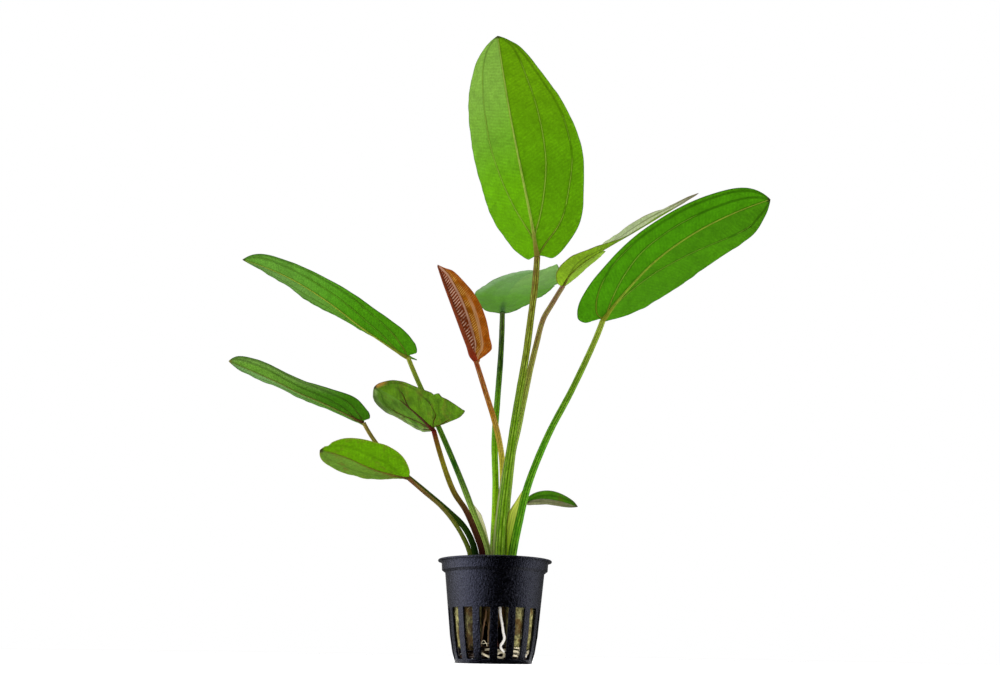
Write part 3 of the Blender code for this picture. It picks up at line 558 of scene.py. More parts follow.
class Blade:
    """A leaf's flat outline bent onto its rib."""

    def __init__(self, leaf):
        self.leaf = leaf
        self.line = spline(leaf["rib"], 200)
        self.reach = length_along(self.line)
        self.length = self.reach[-1]
        self.headings = unit(np.gradient(self.line, axis=0))
        self.edges = [spline([(0, 0), *leaf[side], (self.length, 0)], 601) for side in ("left", "right")]

    def read(self, rows, s):
        """Rows given at the rib's points, read at s along it."""
        return np.stack([np.interp(s, self.reach, column) for column in rows.T], -1)

    def place(self, s, out, side):
        """Points at s along the rib and out from it, on side 0 (left) or 1 (right)."""
        held = np.clip(s, 0, self.length)
        heading = unit(self.read(self.headings, held))
        centre = self.read(self.line, held) + (s - held)[..., None] * heading
        face = along(self.leaf["face"], held / self.length)
        face = unit(face - (face * heading).sum(-1, keepdims=True) * heading)
        across = np.cross(heading, face)
        width = max(reach for _, reach in self.leaf[("left", "right")[side]])
        start = np.radians(along(self.leaf["fold"], held / self.length)[..., side])
        bend = math.radians(self.leaf["curl"][side]) + 0.0001
        turn = start + bend * out / width
        flat = width * (np.sin(turn) - np.sin(start)) / bend
        rise = width * (np.cos(start) - np.cos(turn)) / bend
        return centre + ((-1, 1)[side] * flat)[..., None] * across + rise[..., None] * face

    def spread(self, row, share, side):
        """Where points at a row and a share of the half lie flat, and how wide the half is there."""
        steps = np.linspace(0, 1, len(self.edges[side]))
        edge_s = np.interp(row, steps, self.edges[side][:, 0])
        edge_out = np.maximum(np.interp(row, steps, self.edges[side][:, 1]), 0)
        rib_s = self.length * row**RIB_PACE
        out = edge_out * share
        for nicked, place, half_width, depth in self.leaf.get("nicks", []):
            if nicked == side:
                out = out - depth * np.clip(1 - np.abs(edge_s - place) / half_width, 0, 1) * share**8
        return rib_s + (edge_s - rib_s) * share, np.maximum(out, 0), np.hypot(edge_s - rib_s, edge_out)

    def upward(self, s, out, side):
        """The upper side's direction."""
        step = 0.2
        forward = self.place(s + step, out, side) - self.place(s - step, out, side)
        outward = self.place(s, out + step, side) - self.place(s, out, side)
        return unit(np.cross((-1, 1)[side] * outward, forward))


def half_sheet(blade, side, rows, shares, seed):
    """Points of one half from the rib out, and the values that its pattern is drawn from."""
    row, share = np.meshgrid(rows, shares, indexing="ij")
    s, out, reach = blade.spread(row, share, side)
    veins = blade.leaf["veins"][side]
    gaps = [(share - np.interp(row, *zip(*vein))) * reach for vein in veins]
    while len(gaps) < 2:
        gaps.append(np.full_like(share, -FAR_OFF))
    nearest = np.minimum.reduce([out, *[np.abs(gap) for gap in gaps]])
    look = blade.leaf["look"]
    ladder = s - LADDER_SLOPE * out
    spacing = look.get("ladder", LADDER)[0]
    fade = np.clip(nearest / 1.5, 0, 1)
    rise = BULGE * (1 - np.exp(-(nearest / BULGE_REACH) ** 2))
    rise += look.get("relief", LADDER_RELIEF) * np.cos(math.tau * ladder / spacing) * fade
    rise += MARGIN_WAVE * share**3 * waves(s, seed, 31)
    rise += FINE_WAVE * waves(s + 2 * out, seed + 7, 17) * share
    ends = np.clip(np.minimum(row, 1 - row) / 0.05, 0, 1)
    points = blade.place(s, out, side) + (rise * ends)[..., None] * blade.upward(s, out, side)
    midrib = np.where(s > blade.length * blade.leaf.get("rib_end", 2), FAR_OFF, out)
    return points, dict(rib=midrib, vein_a=gaps[0], vein_b=gaps[1], ladder=ladder, share=share,
                        edge=(1 - share) * reach, side=np.full_like(share, side),
                        tip=np.hypot(blade.length - s, out), place=np.clip(s / blade.length, 0, 1))


def sheet_faces(deep, wide):
    """Faces of two grids of points, closed at the margins and by a point at the base and the tip."""
    lower, base, tip = deep * wide, 2 * deep * wide, 2 * deep * wide + 1
    last = (deep - 1) * wide
    faces = []
    for column in range(wide - 1):
        faces.append((base, column + 1, column))
        faces.append((base, lower + column, lower + column + 1))
        faces.append((last + column, last + column + 1, tip))
        faces.append((lower + last + column + 1, lower + last + column, tip))
        for row in range(deep - 1):
            a = row * wide + column
            faces.append((a, a + 1, a + wide + 1, a + wide))
            faces.append((lower + a, lower + a + wide, lower + a + wide + 1, lower + a + 1))
    for row in range(deep - 1):
        a, b = row * wide, (row + 1) * wide
        faces.append((a, b, lower + b, lower + a))
        a, b = a + wide - 1, b + wide - 1
        faces.append((a, lower + a, lower + b, b))
    return faces + [(base, 0, lower), (base, lower + wide - 1, wide - 1), (tip, lower + last, last),
                    (tip, last + wide - 1, lower + last + wide - 1)]


def add_sheet(shape, blade, seed):
    """The blade's closed thin sheet: upper side, underside and the margin between them."""
    rows = np.linspace(0, 1, blade.leaf.get("rows", BLADE_ROWS) + 1)[1:-1]
    shares = np.linspace(0, 1, HALF_BLADE_COLUMNS + 1)
    left, left_values = half_sheet(blade, 0, rows, shares, seed)
    right, right_values = half_sheet(blade, 1, rows, shares, seed + 3)
    grid = np.concatenate([left[:, ::-1], right[:, 1:]], axis=1)
    values = {name: np.concatenate([left_values[name][:, ::-1], right_values[name][:, 1:]], axis=1)
              for name in left_values}
    facing = unit(np.cross(np.gradient(grid, axis=1), np.gradient(grid, axis=0)))
    share = values.pop("share")
    half = (MARGIN_THICKNESS + (BLADE_THICKNESS - MARGIN_THICKNESS) * (1 - share**4)) / 2
    deep, wide = share.shape
    points = np.concatenate([(grid + half[..., None] * facing).reshape(-1, 3),
                             (grid - half[..., None] * facing).reshape(-1, 3),
                             [blade.line[0], blade.line[-1]]])
    doubled = {name: np.concatenate([value.ravel(), value.ravel(), value[0, wide // 2:wide // 2 + 1],
                                     value[-1, wide // 2:wide // 2 + 1]]) for name, value in values.items()}
    under = np.concatenate([np.zeros(deep * wide), np.ones(deep * wide), [0.5, 0.5]])
    shape.add(points, sheet_faces(deep, wide), under=under, **doubled)


def add_vein(shape, blade, side, vein, radii):
    """A raised side vein on the underside."""
    start, end = vein[0][0], vein[-1][0]
    count = max(8, round((end - start) * blade.length / VEIN_STEP))
    row = np.linspace(start, end, count)
    share = np.interp(row, *zip(*vein))
    share = np.convolve(np.pad(share, 6, mode="edge"), np.ones(13) / 13, mode="valid")
    s, out, _ = blade.spread(row, share, side)
    radius = np.interp(np.linspace(0, 1, count), (0, 0.05, 0.5, 1), (0.7 * radii[0], *radii))
    line = blade.place(s, out, side) - (0.35 * radius)[:, None] * blade.upward(s, out, side)
    points, faces = tube(line, radius)
    place = np.repeat(s / blade.length, VEIN_SIDES)
    shape.add(points, faces, vein=1, lateral=1, place=place, under=1, side=side, tip=FAR_OFF,
              edge=FAR_OFF)


def add_midrib(shape, blade, foot_radius):
    """The midrib, which carries on from the stalk and thins out to the tip."""
    reach = blade.length * blade.leaf.get("rib_end", 0.985)
    s = np.linspace(0, reach, round(reach / VEIN_STEP))
    zero = np.zeros_like(s)
    upward = unit(blade.upward(s, zero, 0) + blade.upward(s, zero, 1))
    places, girths = np.transpose(MIDRIB_GIRTHS)
    girths[1:] *= blade.leaf.get("rib_girth", 0.8)
    radius = foot_radius * np.interp(s / reach, places, girths)
    line = blade.read(blade.line, s) - (0.4 * radius * np.clip(s / 4, 0, 1))[:, None] * upward
    points, faces = tube(line, radius, 12)
    place = np.repeat(s / blade.length, 12)
    shape.add(points, faces, vein=1, place=place, under=1, tip=FAR_OFF, edge=FAR_OFF)


def make_leaf(name, leaf):
    """A blade with its midrib and side veins, as one piece."""
    blade = Blade(leaf)
    shape = Shape()
    seed = 11 * (list(LEAVES).index(name) + 1)
    add_sheet(shape, blade, seed)
    add_midrib(shape, blade, STALKS[name]["radius"][2])
    scale = min(1, blade.length / 100) * leaf["look"].get("vein_girth", 1)
    for side in (0, 1):
        for order, vein in enumerate(leaf["veins"][side]):
            width = VEIN_RADII[order] * scale
            add_vein(shape, blade, side, vein, (width, 0.75 * width, 0.3 * width))
    piece = shape.build("blade_" + name, leaf_material("leaf_" + name, leaf["look"]))
    return placed(piece, "leaf_" + name)


def stalk_line(name):
    """Centres of a stalk from its foot to the blade's base."""
    stalk = STALKS[name]
    path = [(*stalk["path"][0], STALK_FOOT), *stalk["path"][1:], LEAVES[name]["rib"][0]]
    return spline(path, round(length_along(path)[-1] / STALK_ROW_STEP) + 1)


def make_stalk(name, stalk):
    """A ribbed stalk, with its sheath where it has one."""
    centres = stalk_line(name)
    count = len(centres)
    headings = unit(np.gradient(centres, axis=0))
    headings[0] = (0, 0, 1)
    share = np.linspace(0, 1, count)
    radius = np.interp(share, (0, 0.5, 1), stalk["radius"])
    direction, widths = stalk.get("sheath", (0, [(STALK_FOOT, 0)]))
    towards = np.array([math.cos(math.radians(direction)), math.sin(math.radians(direction)), 0])
    outs = unit(towards - (headings @ towards)[:, None] * headings)
    squares = np.cross(headings, outs)
    angles = full_turn(STALK_SIDES)
    ridges = 1 + 0.05 * np.cos(5 * angles) + 0.03 * np.cos(11 * angles)
    wander = 1 + 0.03 * waves(np.arange(count) * STALK_ROW_STEP, len(name) + count, 23)
    girths = rings(outs, squares, angles) * (radius * wander)[:, None, None] * ridges[None, :, None]
    shape = Shape()
    points, faces = loft(centres[:, None] + girths)
    run = np.repeat(np.arange(count) * STALK_ROW_STEP, STALK_SIDES)
    shape.add(points, faces, share=np.repeat(share, STALK_SIDES), run=run,
              turn_x=np.tile(np.cos(angles), count), turn_y=np.tile(np.sin(angles), count))
    if "sheath" in stalk:
        add_wing(shape, centres, outs, squares, radius, widths, share)
    piece = shape.build("petiole_" + name, stalk_material("stalk_" + name, stalk))
    return placed(piece, "stalk_" + name)


def add_wing(shape, centres, outs, squares, radius, widths, share):
    """The sheath's thin clasping edge, which runs out where the stalk gets free."""
    top = widths[-1][0]
    rows = np.nonzero(centres[:, 2] < top)[0]
    steps = np.linspace(0, 1, WING_COLUMNS + 1)
    sections = []
    for row in rows:
        width = max(0.05, float(np.interp(centres[row, 2], *zip(*widths))))
        reach = radius[row] * 0.75 + (radius[row] * 0.25 + width) * steps
        lift = -0.10 * width * steps**2
        thick = WING_THICKNESS * (1 - 0.75 * steps) / 2
        out = np.concatenate([reach, reach[::-1]])
        across = np.concatenate([lift + thick, (lift - thick)[::-1]])
        sections.append(centres[row] + out[:, None] * outs[row] + across[:, None] * squares[row])
    points, faces = loft(np.array(sections))
    edge = np.tile(np.concatenate([steps, steps[::-1]]), len(rows))
    sides = 2 * len(steps)
    shape.add(points, [face[::-1] for face in faces], wing=1, wing_edge=edge,
              share=np.repeat(share[rows], sides), run=np.repeat(rows * STALK_ROW_STEP, sides),
              turn_x=1, wing_rise=np.repeat(np.linspace(0, 1, len(rows)), sides))


# Pot

def pot_outside():
    """Outer (radius, height) points from the base up to the flange's underside."""
    return [(BASE_RADIUS - 0.5, 0), (BASE_RADIUS - 0.15, 0.15), (BASE_RADIUS, 0.6), (19.4, 5),
            (BEND_RADIUS, BEND_HEIGHT), (SHOULDER_RADIUS, SHOULDER_HEIGHT),
            (BAND_RADIUS - 0.3, BAND_FOOT), (BAND_RADIUS, POT_HEIGHT - FLANGE_THICKNESS)]


def wall_levels():
    """Heights at which the wall's rings lie, with both ends of the slots among them."""
    corners = [height for _, height in pot_outside()]
    fine = np.linspace(SLOT_FOOT, SLOT_TOP, 10)
    return np.unique(np.round(np.concatenate([corners, fine, [30, 35]]), 3))


def ring_angles(height, radius):
    """Angles of a ring's points: a run over each slot, then a run over the rib after it."""
    share = np.clip((height - SLOT_FOOT) / (SLOT_TOP - SLOT_FOOT), 0, 1)
    half = math.asin((SLOT_WIDTH_FOOT + (SLOT_WIDTH_TOP - SLOT_WIDTH_FOOT) * share) / 2 / radius)
    pitch = math.tau / SLOT_COUNT
    angles = []
    for index in range(SLOT_COUNT):
        centre = (index + 0.5) * pitch - math.pi / 2
        angles += list(np.linspace(centre - half, centre + half, RING_STEPS, endpoint=False))
        angles += list(np.linspace(centre + half, centre + pitch - half, RING_STEPS, endpoint=False))
    return np.array(angles)


def wall_rings(profile, levels):
    """Rings of points at the levels of a wall with that (radius, height) profile."""
    radii, heights = zip(*profile)
    made = []
    for height in levels:
        radius = float(np.interp(height, heights, radii))
        made.append(around(radius, ring_angles(height, radius), height))
    return np.array(made)


def flange_profile():
    """The flange's (radius, height) points from the inner edge over the top to its underside."""
    top, under = POT_HEIGHT, POT_HEIGHT - FLANGE_THICKNESS
    inner = BAND_RADIUS - WALL
    return [(inner, top - 0.4), (inner + 0.4, top), (FLANGE_RADIUS - 0.25, top),
            (FLANGE_RADIUS, top - 0.25), (FLANGE_RADIUS, under + 0.15), (FLANGE_RADIUS - 0.15, under)]


def slotted_faces(levels, wide):
    """Faces of the outer and the inner wall, and those between them at the slots."""
    shift = len(levels) * wide
    faces = []

    def is_open(row, column):
        return SLOT_FOOT <= levels[row] < SLOT_TOP and column % (2 * RING_STEPS) < RING_STEPS

    for row in range(len(levels) - 1):
        for column in range(wide):
            beside = (column + 1) % wide
            a, b = row * wide + column, row * wide + beside
            c, d = b + wide, a + wide
            if not is_open(row, column):
                faces.append((a, b, c, d))
                faces.append((shift + a, shift + d, shift + c, shift + b))
                if is_open(row, beside):
                    faces.append((b, shift + b, shift + c, c))
                if is_open(row, (column - 1) % wide):
                    faces.append((a, d, shift + d, shift + a))
                continue
            if row == 0 or not is_open(row - 1, column):
                faces.append((a, shift + a, shift + b, b)[::-1])
            if not is_open(row + 1, column):
                faces.append((d, shift + d, shift + c, c))
    return faces


def bands(chain, wide):
    """Faces between rings of points that follow each other; chain has each ring's first point."""
    return [(first + column, second + column, second + (column + 1) % wide, first + (column + 1) % wide)
            for first, second in zip(chain, chain[1:]) for column in range(wide)]


def make_pot():
    """The moulded net pot: wall with slots, flange, and a floor with drain holes."""
    levels = wall_levels()
    outer = wall_rings(pot_outside(), levels)
    inner = wall_rings([(radius - WALL, height) for radius, height in pot_outside()], levels)
    angles = ring_angles(levels[-1], BAND_RADIUS)
    rim = np.array([around(radius, angles, height) for radius, height in flange_profile()])
    rows, wide, _ = outer.shape
    shift, last = rows * wide, (rows - 1) * wide
    chain = [shift + last, *(2 * shift + index * wide for index in range(len(rim))), last]
    faces = slotted_faces(levels, wide) + bands((0, shift), wide) + bands(chain, wide)
    inside = np.concatenate([np.zeros(shift), np.ones(shift), np.zeros(rim.size // 3)])
    points = np.concatenate([part.reshape(-1, 3) for part in (outer, inner, rim)])
    shape = Shape()
    shape.add(points, faces, inside=inside)
    pot = shape.build("moulded_pot", pot_material(), sharp=40)
    bevel = pot.modifiers.new("soft edges", "BEVEL")
    bevel.width = 0.22 * MM
    bevel.segments = 2
    bevel.limit_method = "ANGLE"
    bevel.angle_limit = math.radians(50)
    floor = make_pot_floor(pot.data.materials[0])
    floor.parent = pot
    return placed(pot, "net_pot")


def make_pot_floor(material):
    """The floor's disc with its ring of drain holes."""
    curve = bpy.data.curves.new("pot_floor", "CURVE")
    curve.dimensions = "2D"
    curve.fill_mode = "BOTH"
    curve.extrude = (POT_FLOOR / 2 - 0.02) * MM
    outlines = [around(BASE_RADIUS - 0.75, full_turn(120), 0)]
    for turn in math.tau * (np.arange(DRAIN_COUNT) + 0.5) / DRAIN_COUNT:
        outlines.append(around(DRAIN_CIRCLE, turn, 0) + around(DRAIN_RADIUS, full_turn(24), 0))
    for points in outlines:
        line = curve.splines.new("POLY")
        line.points.add(len(points) - 1)
        for point, place in zip(line.points, points):
            point.co = (*place * MM, 1)
        line.use_cyclic_u = True
    mesh = bpy.data.objects.new("pot_floor_outline", curve).to_mesh().copy()
    for vertex in mesh.vertices:
        vertex.co.z += POT_FLOOR / 2 * MM
    mesh.materials.clear()
    mesh.materials.append(material)
    floor = linked("pot_floor", mesh)
    return floor


# Rockwool, crown and roots

def wall_inside(height):
    """The inner radius of the pot's wall at a height."""
    radii, heights = zip(*pot_outside())
    return float(np.interp(height, heights, radii)) - WALL


def wool_outside(height):
    """The wool's outer radius, just inside the pot's wall."""
    return wall_inside(min(height, WOOL_WIDEST)) - WOOL_PLAY


def wool_profile():
    """The wrap's (radius, height) outline, and which of its points look at the crown."""
    heights = np.linspace(WOOL_FOOT - 0.2, WOOL_TOP - 1, 44)
    outside = [(wool_outside(height), height) for height in heights]
    hole = WOOL_HOLE_RADIUS + 0.6
    top = [(radius, WOOL_TOP) for radius in np.linspace(outside[-1][0] - 1, hole, 9)]
    inside = [(WOOL_HOLE_RADIUS, height) for height in heights[::-1]]
    foot = [(radius, WOOL_FOOT - 0.8) for radius in np.linspace(hole, outside[0][0] - 1, 6)]
    inward = np.repeat((False, True, False), (len(outside) + len(top), len(inside), len(foot)))
    return np.array(outside + top + inside + foot), inward


def wool_section(profile, inward, angle, chance):
    """The lumpy outline at an angle, which bulges into the slots, and how much painted shade it takes."""
    height = profile[:, 1]
    turned = math.degrees(angle)
    lumps = (waves(height + 40 * angle, 3, 9) + waves(31 * angle - height, 8, 5.3)
             + chance.uniform(-0.6, 0.6, len(profile)))
    in_slot = np.clip(1.3 - abs((turned + 90) % SLOT_PITCH - SLOT_PITCH / 2) / 6, 0, 1)
    low = np.clip((SLOT_TOP - height) / 2, 0, 1) * np.where(inward, 0, 1)
    radius = profile[:, 0] + 0.22 * lumps - 0.25 + WOOL_BULGE * in_slot * low
    ragged = np.where(height > WOOL_TOP - 1.5, 0.35, np.where(height < WOOL_FOOT + 1, 0.6, 0.1))
    # painted shade: full on the faces that look at the crown, and more at the shaded places
    shaded = sum(math.exp(-((turned - place) / spread) ** 2) for place, spread in WOOL_SHADE_PLACES)
    damp = np.where(inward, 1.0, np.clip(0.6 * shaded + 0.3 * lumps + 0.12, 0, 0.92))
    return around(radius, angle, height + ragged * lumps), damp


def make_rockwool():
    """The fibrous wrap, open at the front, with loose fibres over it."""
    chance = np.random.default_rng(5)
    profile, inward = wool_profile()
    start = -math.pi / 2 + math.radians(WOOL_GAP_ANGLE / 2)
    angles = np.linspace(start, start + math.tau - math.radians(WOOL_GAP_ANGLE), 260)
    sections, damp = zip(*[wool_section(profile, inward, angle, chance) for angle in angles])
    shape = Shape()
    points, faces = loft(np.array(sections))
    shape.add(points, faces, tone=chance.uniform(0, 1, len(points)), damp=np.ravel(damp))
    for _ in range(WOOL_FIBRES):
        add_fibre(shape, chance, start)
    return placed(shape.build("wool_wrap", wool_material()), "rockwool")


def add_fibre(shape, chance, start):
    """One loose fibre lying on the wrap's side or top."""
    angle = start + chance.uniform(0.02, 0.98) * (math.tau - math.radians(WOOL_GAP_ANGLE))
    on_top = chance.random() < 0.25
    height = WOOL_TOP if on_top else chance.uniform(WOOL_FOOT + 1, WOOL_TOP - 2)
    length = chance.uniform(2, 6)
    lean = chance.normal(0, 0.9)
    steps = np.linspace(-0.5, 0.5, 5) * length
    bend = chance.uniform(-0.12, 0.12)
    run = steps * math.cos(lean) + bend * steps**2
    rise = steps * math.sin(lean)
    if on_top:
        radius = chance.uniform(WOOL_HOLE_RADIUS + 1, wool_outside(WOOL_TOP) - 1) + rise
        radius = np.clip(radius, WOOL_HOLE_RADIUS - 1, wool_outside(WOOL_TOP))
        heights = np.full(5, height + chance.uniform(0.1, 0.5))
    else:
        heights = np.clip(height + rise, WOOL_FOOT, WOOL_TOP)
        radius = np.array([wool_outside(h) for h in heights]) + chance.uniform(-0.25, 0.12)
    turns = angle + run / np.maximum(radius, 1)
    points, faces = tube(around(radius, turns, heights), chance.uniform(0.05, 0.1), 3)
    shape.add(points, faces, tone=chance.uniform(0, 1), fibre=1)


def make_crown():
    """The short rootstock, ribbed by old leaf bases."""
    profile = [(0.05, CROWN_FOOT), (3, CROWN_FOOT + 0.3), (5.5, CROWN_FOOT + 2),
               (CROWN_RADIUS - 2.5, CROWN_TOP - 8), (CROWN_RADIUS - 1.2, CROWN_TOP - 4),
               (CROWN_RADIUS - 0.4, CROWN_TOP - 1.5), (CROWN_RADIUS - 1.4, CROWN_TOP - 0.4),
               (7, CROWN_TOP), (3, CROWN_TOP), (0.05, CROWN_TOP)]
    angles = full_turn(96)
    sections = []
    for radius, height in spline(profile, 50):
        grooves = 0.04 * (1 + np.cos(9 * angles + height * 0.3))
        ribs = 1 - grooves + 0.03 * waves(angles * 10, 4, math.tau * 10)
        sections.append(around(radius * ribs, angles, height))
    shape = Shape()
    shape.add(*loft(np.array(sections)))
    skin = root_material("crown", tint(120, 92, 50), tint(60, 44, 24))
    return placed(shape.build("rootstock", skin), "crown")


def add_root(shape, path, radius, seed, tone=0.5, sides=10):
    """A slightly wandering root along a path, thinner at its end."""
    length = length_along(path)[-1]
    count = max(6, round(length / 0.5))
    line = spline(path, count)
    run = np.linspace(0, length, count)
    outs, squares = carried_frames(line)
    line = line + 0.12 * (waves(run, seed, 7)[:, None] * outs + waves(run, seed + 1, 9)[:, None] * squares)
    thinner = np.interp(run / length, (0, 0.85, 1), (1, 0.95, 0.7))
    points, faces = tube(line, radius * (1 + 0.08 * waves(run, seed + 2, 3)) * thinner, sides)
    shape.add(points, faces, tone=tone)


def make_root(name, root):
    """One of the single roots in the front slots."""
    shape = Shape()
    seed = 40 + 10 * list(ROOTS).index(name)
    add_root(shape, root["path"], root["radius"], seed, sides=12)
    material = root_material("root_" + name, root["colour"], darker(root["colour"], 0.45),
                             root.get("stained", 0.55))
    return placed(shape.build("rootlet_" + name, material), "root_" + name)


def mat_strand(chance, inner):
    """The path and the girth of a root that lies curled on the pot's floor."""
    radius = chance.uniform(7.5, 15) if inner else chance.uniform(13.5, 15.8)
    girth = chance.uniform(0.35, 0.75)
    start = chance.uniform(0, math.tau)
    sweep = chance.uniform(0.9, 3.2)
    low = chance.uniform(MAT_FOOT + 0.7, MAT_TOP + 0.6)
    turns = start + sweep * np.linspace(0, 1, 9)
    reach = radius + chance.uniform(-1.4, 1.4, 9).cumsum() * 0.5
    reach = np.clip(reach, MAT_REACH[0], MAT_REACH[1] - girth)
    heights = low + chance.uniform(-0.8, 0.8, 9).cumsum() * 0.5
    heights = np.clip(heights, MAT_FOOT + girth, MAT_TOP + 0.8 - girth)
    return around(reach, turns, heights), girth


def make_root_mat():
    """Roots that lie coiled on the pot's floor: dark ones within, pale ones at the slots."""
    chance = np.random.default_rng(21)
    shape = Shape()
    for index in range(MAT_STRANDS):
        inner = index % 6 > 0
        path, girth = mat_strand(chance, inner)
        tone = DARK_TONE if inner else chance.uniform(0.3, 1.1)
        add_root(shape, path, girth, 100 + index, tone, sides=8)
    for coils, seed, tone in ((PALE_COILS, 300, 0), (DARK_COILS, 340, DARK_TONE)):
        for index, (girth, coil) in enumerate(coils):
            add_root(shape, [at_wall(*place) for place in coil], girth, seed + index, tone)
    skin = root_material("root_mat", tint(240, 228, 196), tint(44, 26, 12))
    return placed(shape.build("coiled_roots", skin), "root_mat")


def at_wall(azimuth, height, depth):
    """A point at degrees from the front, at a height, and so deep inside the pot's wall."""
    return around(wall_inside(height) - depth, math.radians(azimuth - 90), height)


def placed(piece, node):
    """The piece stands for its CAD node, whose part it hides, and rides on the one body."""
    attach(piece, "root")
    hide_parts(node)
    return piece


# Materials

class Graph:
    """Short calls for the nodes of a tree."""

    def __init__(self, tree):
        self.tree = tree

    def node(self, kind, **settings):
        """A new node with some of its settings."""
        made = self.tree.nodes.new(kind)
        for name, value in settings.items():
            setattr(made, name, value)
        return made

    def feed(self, socket, value):
        """Links an output to the socket, or sets a number or a colour on it."""
        if isinstance(value, bpy.types.NodeSocket):
            self.tree.links.new(value, socket)
        elif isinstance(value, tuple) and len(value) == 3 and socket.type == "RGBA":
            socket.default_value = (*value, 1.0)
        else:
            socket.default_value = value

    def read(self, name):
        """A value that the mesh carries at its points."""
        return self.node("ShaderNodeAttribute", attribute_name=name).outputs["Fac"]

    def math(self, operation, first, second=0.0):
        """One step of arithmetic."""
        made = self.node("ShaderNodeMath", operation=operation)
        self.feed(made.inputs[0], first)
        self.feed(made.inputs[1], second)
        return made.outputs[0]

    def plus(self, first, second):
        """The sum of two values."""
        return self.math("ADD", first, second)

    def flip(self, value):
        """One minus the value."""
        return self.math("SUBTRACT", 1.0, value)

    def size(self, value):
        """The value without its sign."""
        return self.math("ABSOLUTE", value)

    def times(self, *values):
        """All the values multiplied together."""
        product = values[0]
        for value in values[1:]:
            product = self.math("MULTIPLY", product, value)
        return product

    def ease(self, value, low, high, start=0.0, end=1.0):
        """Start below low, end above high, and smooth in between."""
        made = self.node("ShaderNodeMapRange", interpolation_type="SMOOTHSTEP")
        for socket, given in zip(made.inputs, (value, low, high, start, end)):
            self.feed(socket, given)
        return made.outputs[0]

    def mix(self, factor, first, second, blend="MIX"):
        """The first colour at nought and the second at one."""
        made = self.node("ShaderNodeMix", data_type="RGBA", blend_type=blend)
        self.feed(made.inputs[0], factor)
        self.feed(made.inputs[6], first)
        self.feed(made.inputs[7], second)
        return made.outputs[2]

    def shade(self, colour, level):
        """The colour made lighter or darker by a level."""
        return self.mix(1.0, colour, level, "MULTIPLY")

    def mottle(self, colour, scale, depth):
        """The colour lighter and darker from place to place."""
        return self.shade(colour, self.ease(self.noise(scale), 0.3, 0.7, 1 - depth, 1 + depth))

    def noise(self, scale, detail=3.0, vector=None, roughness=0.55):
        """Cloudy noise from 0 to 1, over the object's own place or another vector."""
        made = self.node("ShaderNodeTexNoise")
        self.feed(made.inputs["Vector"], vector or self.object_place)
        made.inputs["Scale"].default_value = scale
        made.inputs["Detail"].default_value = detail
        made.inputs["Roughness"].default_value = roughness
        return made.outputs[0]

    def combine(self, x, y, z=0.0):
        """A vector from its three values."""
        made = self.node("ShaderNodeCombineXYZ")
        for socket, value in zip(made.inputs, (x, y, z)):
            self.feed(socket, value)
        return made.outputs[0]

    def ramp(self, factor, stops):
        """The colour at a factor, between (place, colour) stops."""
        made = self.node("ShaderNodeValToRGB")
        elements = made.color_ramp.elements
        elements[0].position, elements[0].color = stops[0][0], (*stops[0][1], 1)
        elements[1].position, elements[1].color = stops[-1][0], (*stops[-1][1], 1)
        for place, colour in stops[1:-1]:
            elements.new(place).color = (*colour, 1)
        self.feed(made.inputs[0], factor)
        return made.outputs[0]

    def bump(self, height, depth, strength):
        """A normal bent by a height of so many millimetres."""
        made = self.node("ShaderNodeBump")
        made.inputs["Strength"].default_value = strength
        made.inputs["Distance"].default_value = depth * MM
        self.feed(made.inputs["Height"], height)
        return made.outputs[0]

    def principled(self, colour, roughness, normal=None, specular=0.5, tinted=None):
        """The main surface shader."""
        made = self.node("ShaderNodeBsdfPrincipled")
        self.feed(made.inputs["Base Color"], colour)
        self.feed(made.inputs["Roughness"], roughness)
        made.inputs["Specular IOR Level"].default_value = specular
        if tinted:
            made.inputs["Specular Tint"].default_value = (*tinted, 1.0)
        if normal is not None:
            self.feed(made.inputs["Normal"], normal)
        return made

    def either(self, factor, first, second):
        """The first shader at nought and the second at one."""
        made = self.node("ShaderNodeMixShader")
        self.feed(made.inputs[0], factor)
        self.tree.links.new(first.outputs[0], made.inputs[1])
        self.tree.links.new(second.outputs[0], made.inputs[2])
        return made


class Skin(Graph):
    """The nodes of a new material."""

    def __init__(self, name):
        self.material = bpy.data.materials.new(name)
        self.material.use_nodes = True
        super().__init__(self.material.node_tree)
        self.tree.nodes.clear()
        self.output = self.node("ShaderNodeOutputMaterial")
        self.object_place = self.node("ShaderNodeTexCoord").outputs["Object"]

    def finish(self, shader, glow=0.0, glow_colour=None):
        """Ends in the shader, or in a mix of it with light that shines through."""
        if glow:
            through = self.node("ShaderNodeBsdfTranslucent")
            self.feed(through.inputs["Color"], glow_colour)
            shader = self.either(glow, shader, through)
        self.tree.links.new(shader.outputs[0], self.output.inputs["Surface"])
        return self.material


def darker(colour, share):
    """The colour at a share of its light."""
    return tuple(share * value for value in colour)


def ladder_rungs(g, spacing, nearest):
    """Broken, wandering cross veinlets between the main veins, from 0 to 1."""
    wander = g.times(g.noise(180, 2), 1.3)
    rung = g.math("FRACT", g.math("DIVIDE", g.plus(g.read("ladder"), wander), spacing))
    line = g.ease(g.size(g.math("SUBTRACT", rung, 0.5)), 0.1, 0.3, 1, 0)
    return g.times(line, g.ease(g.noise(260, 3), 0.34, 0.6), g.ease(nearest, 0.3, 1.2))


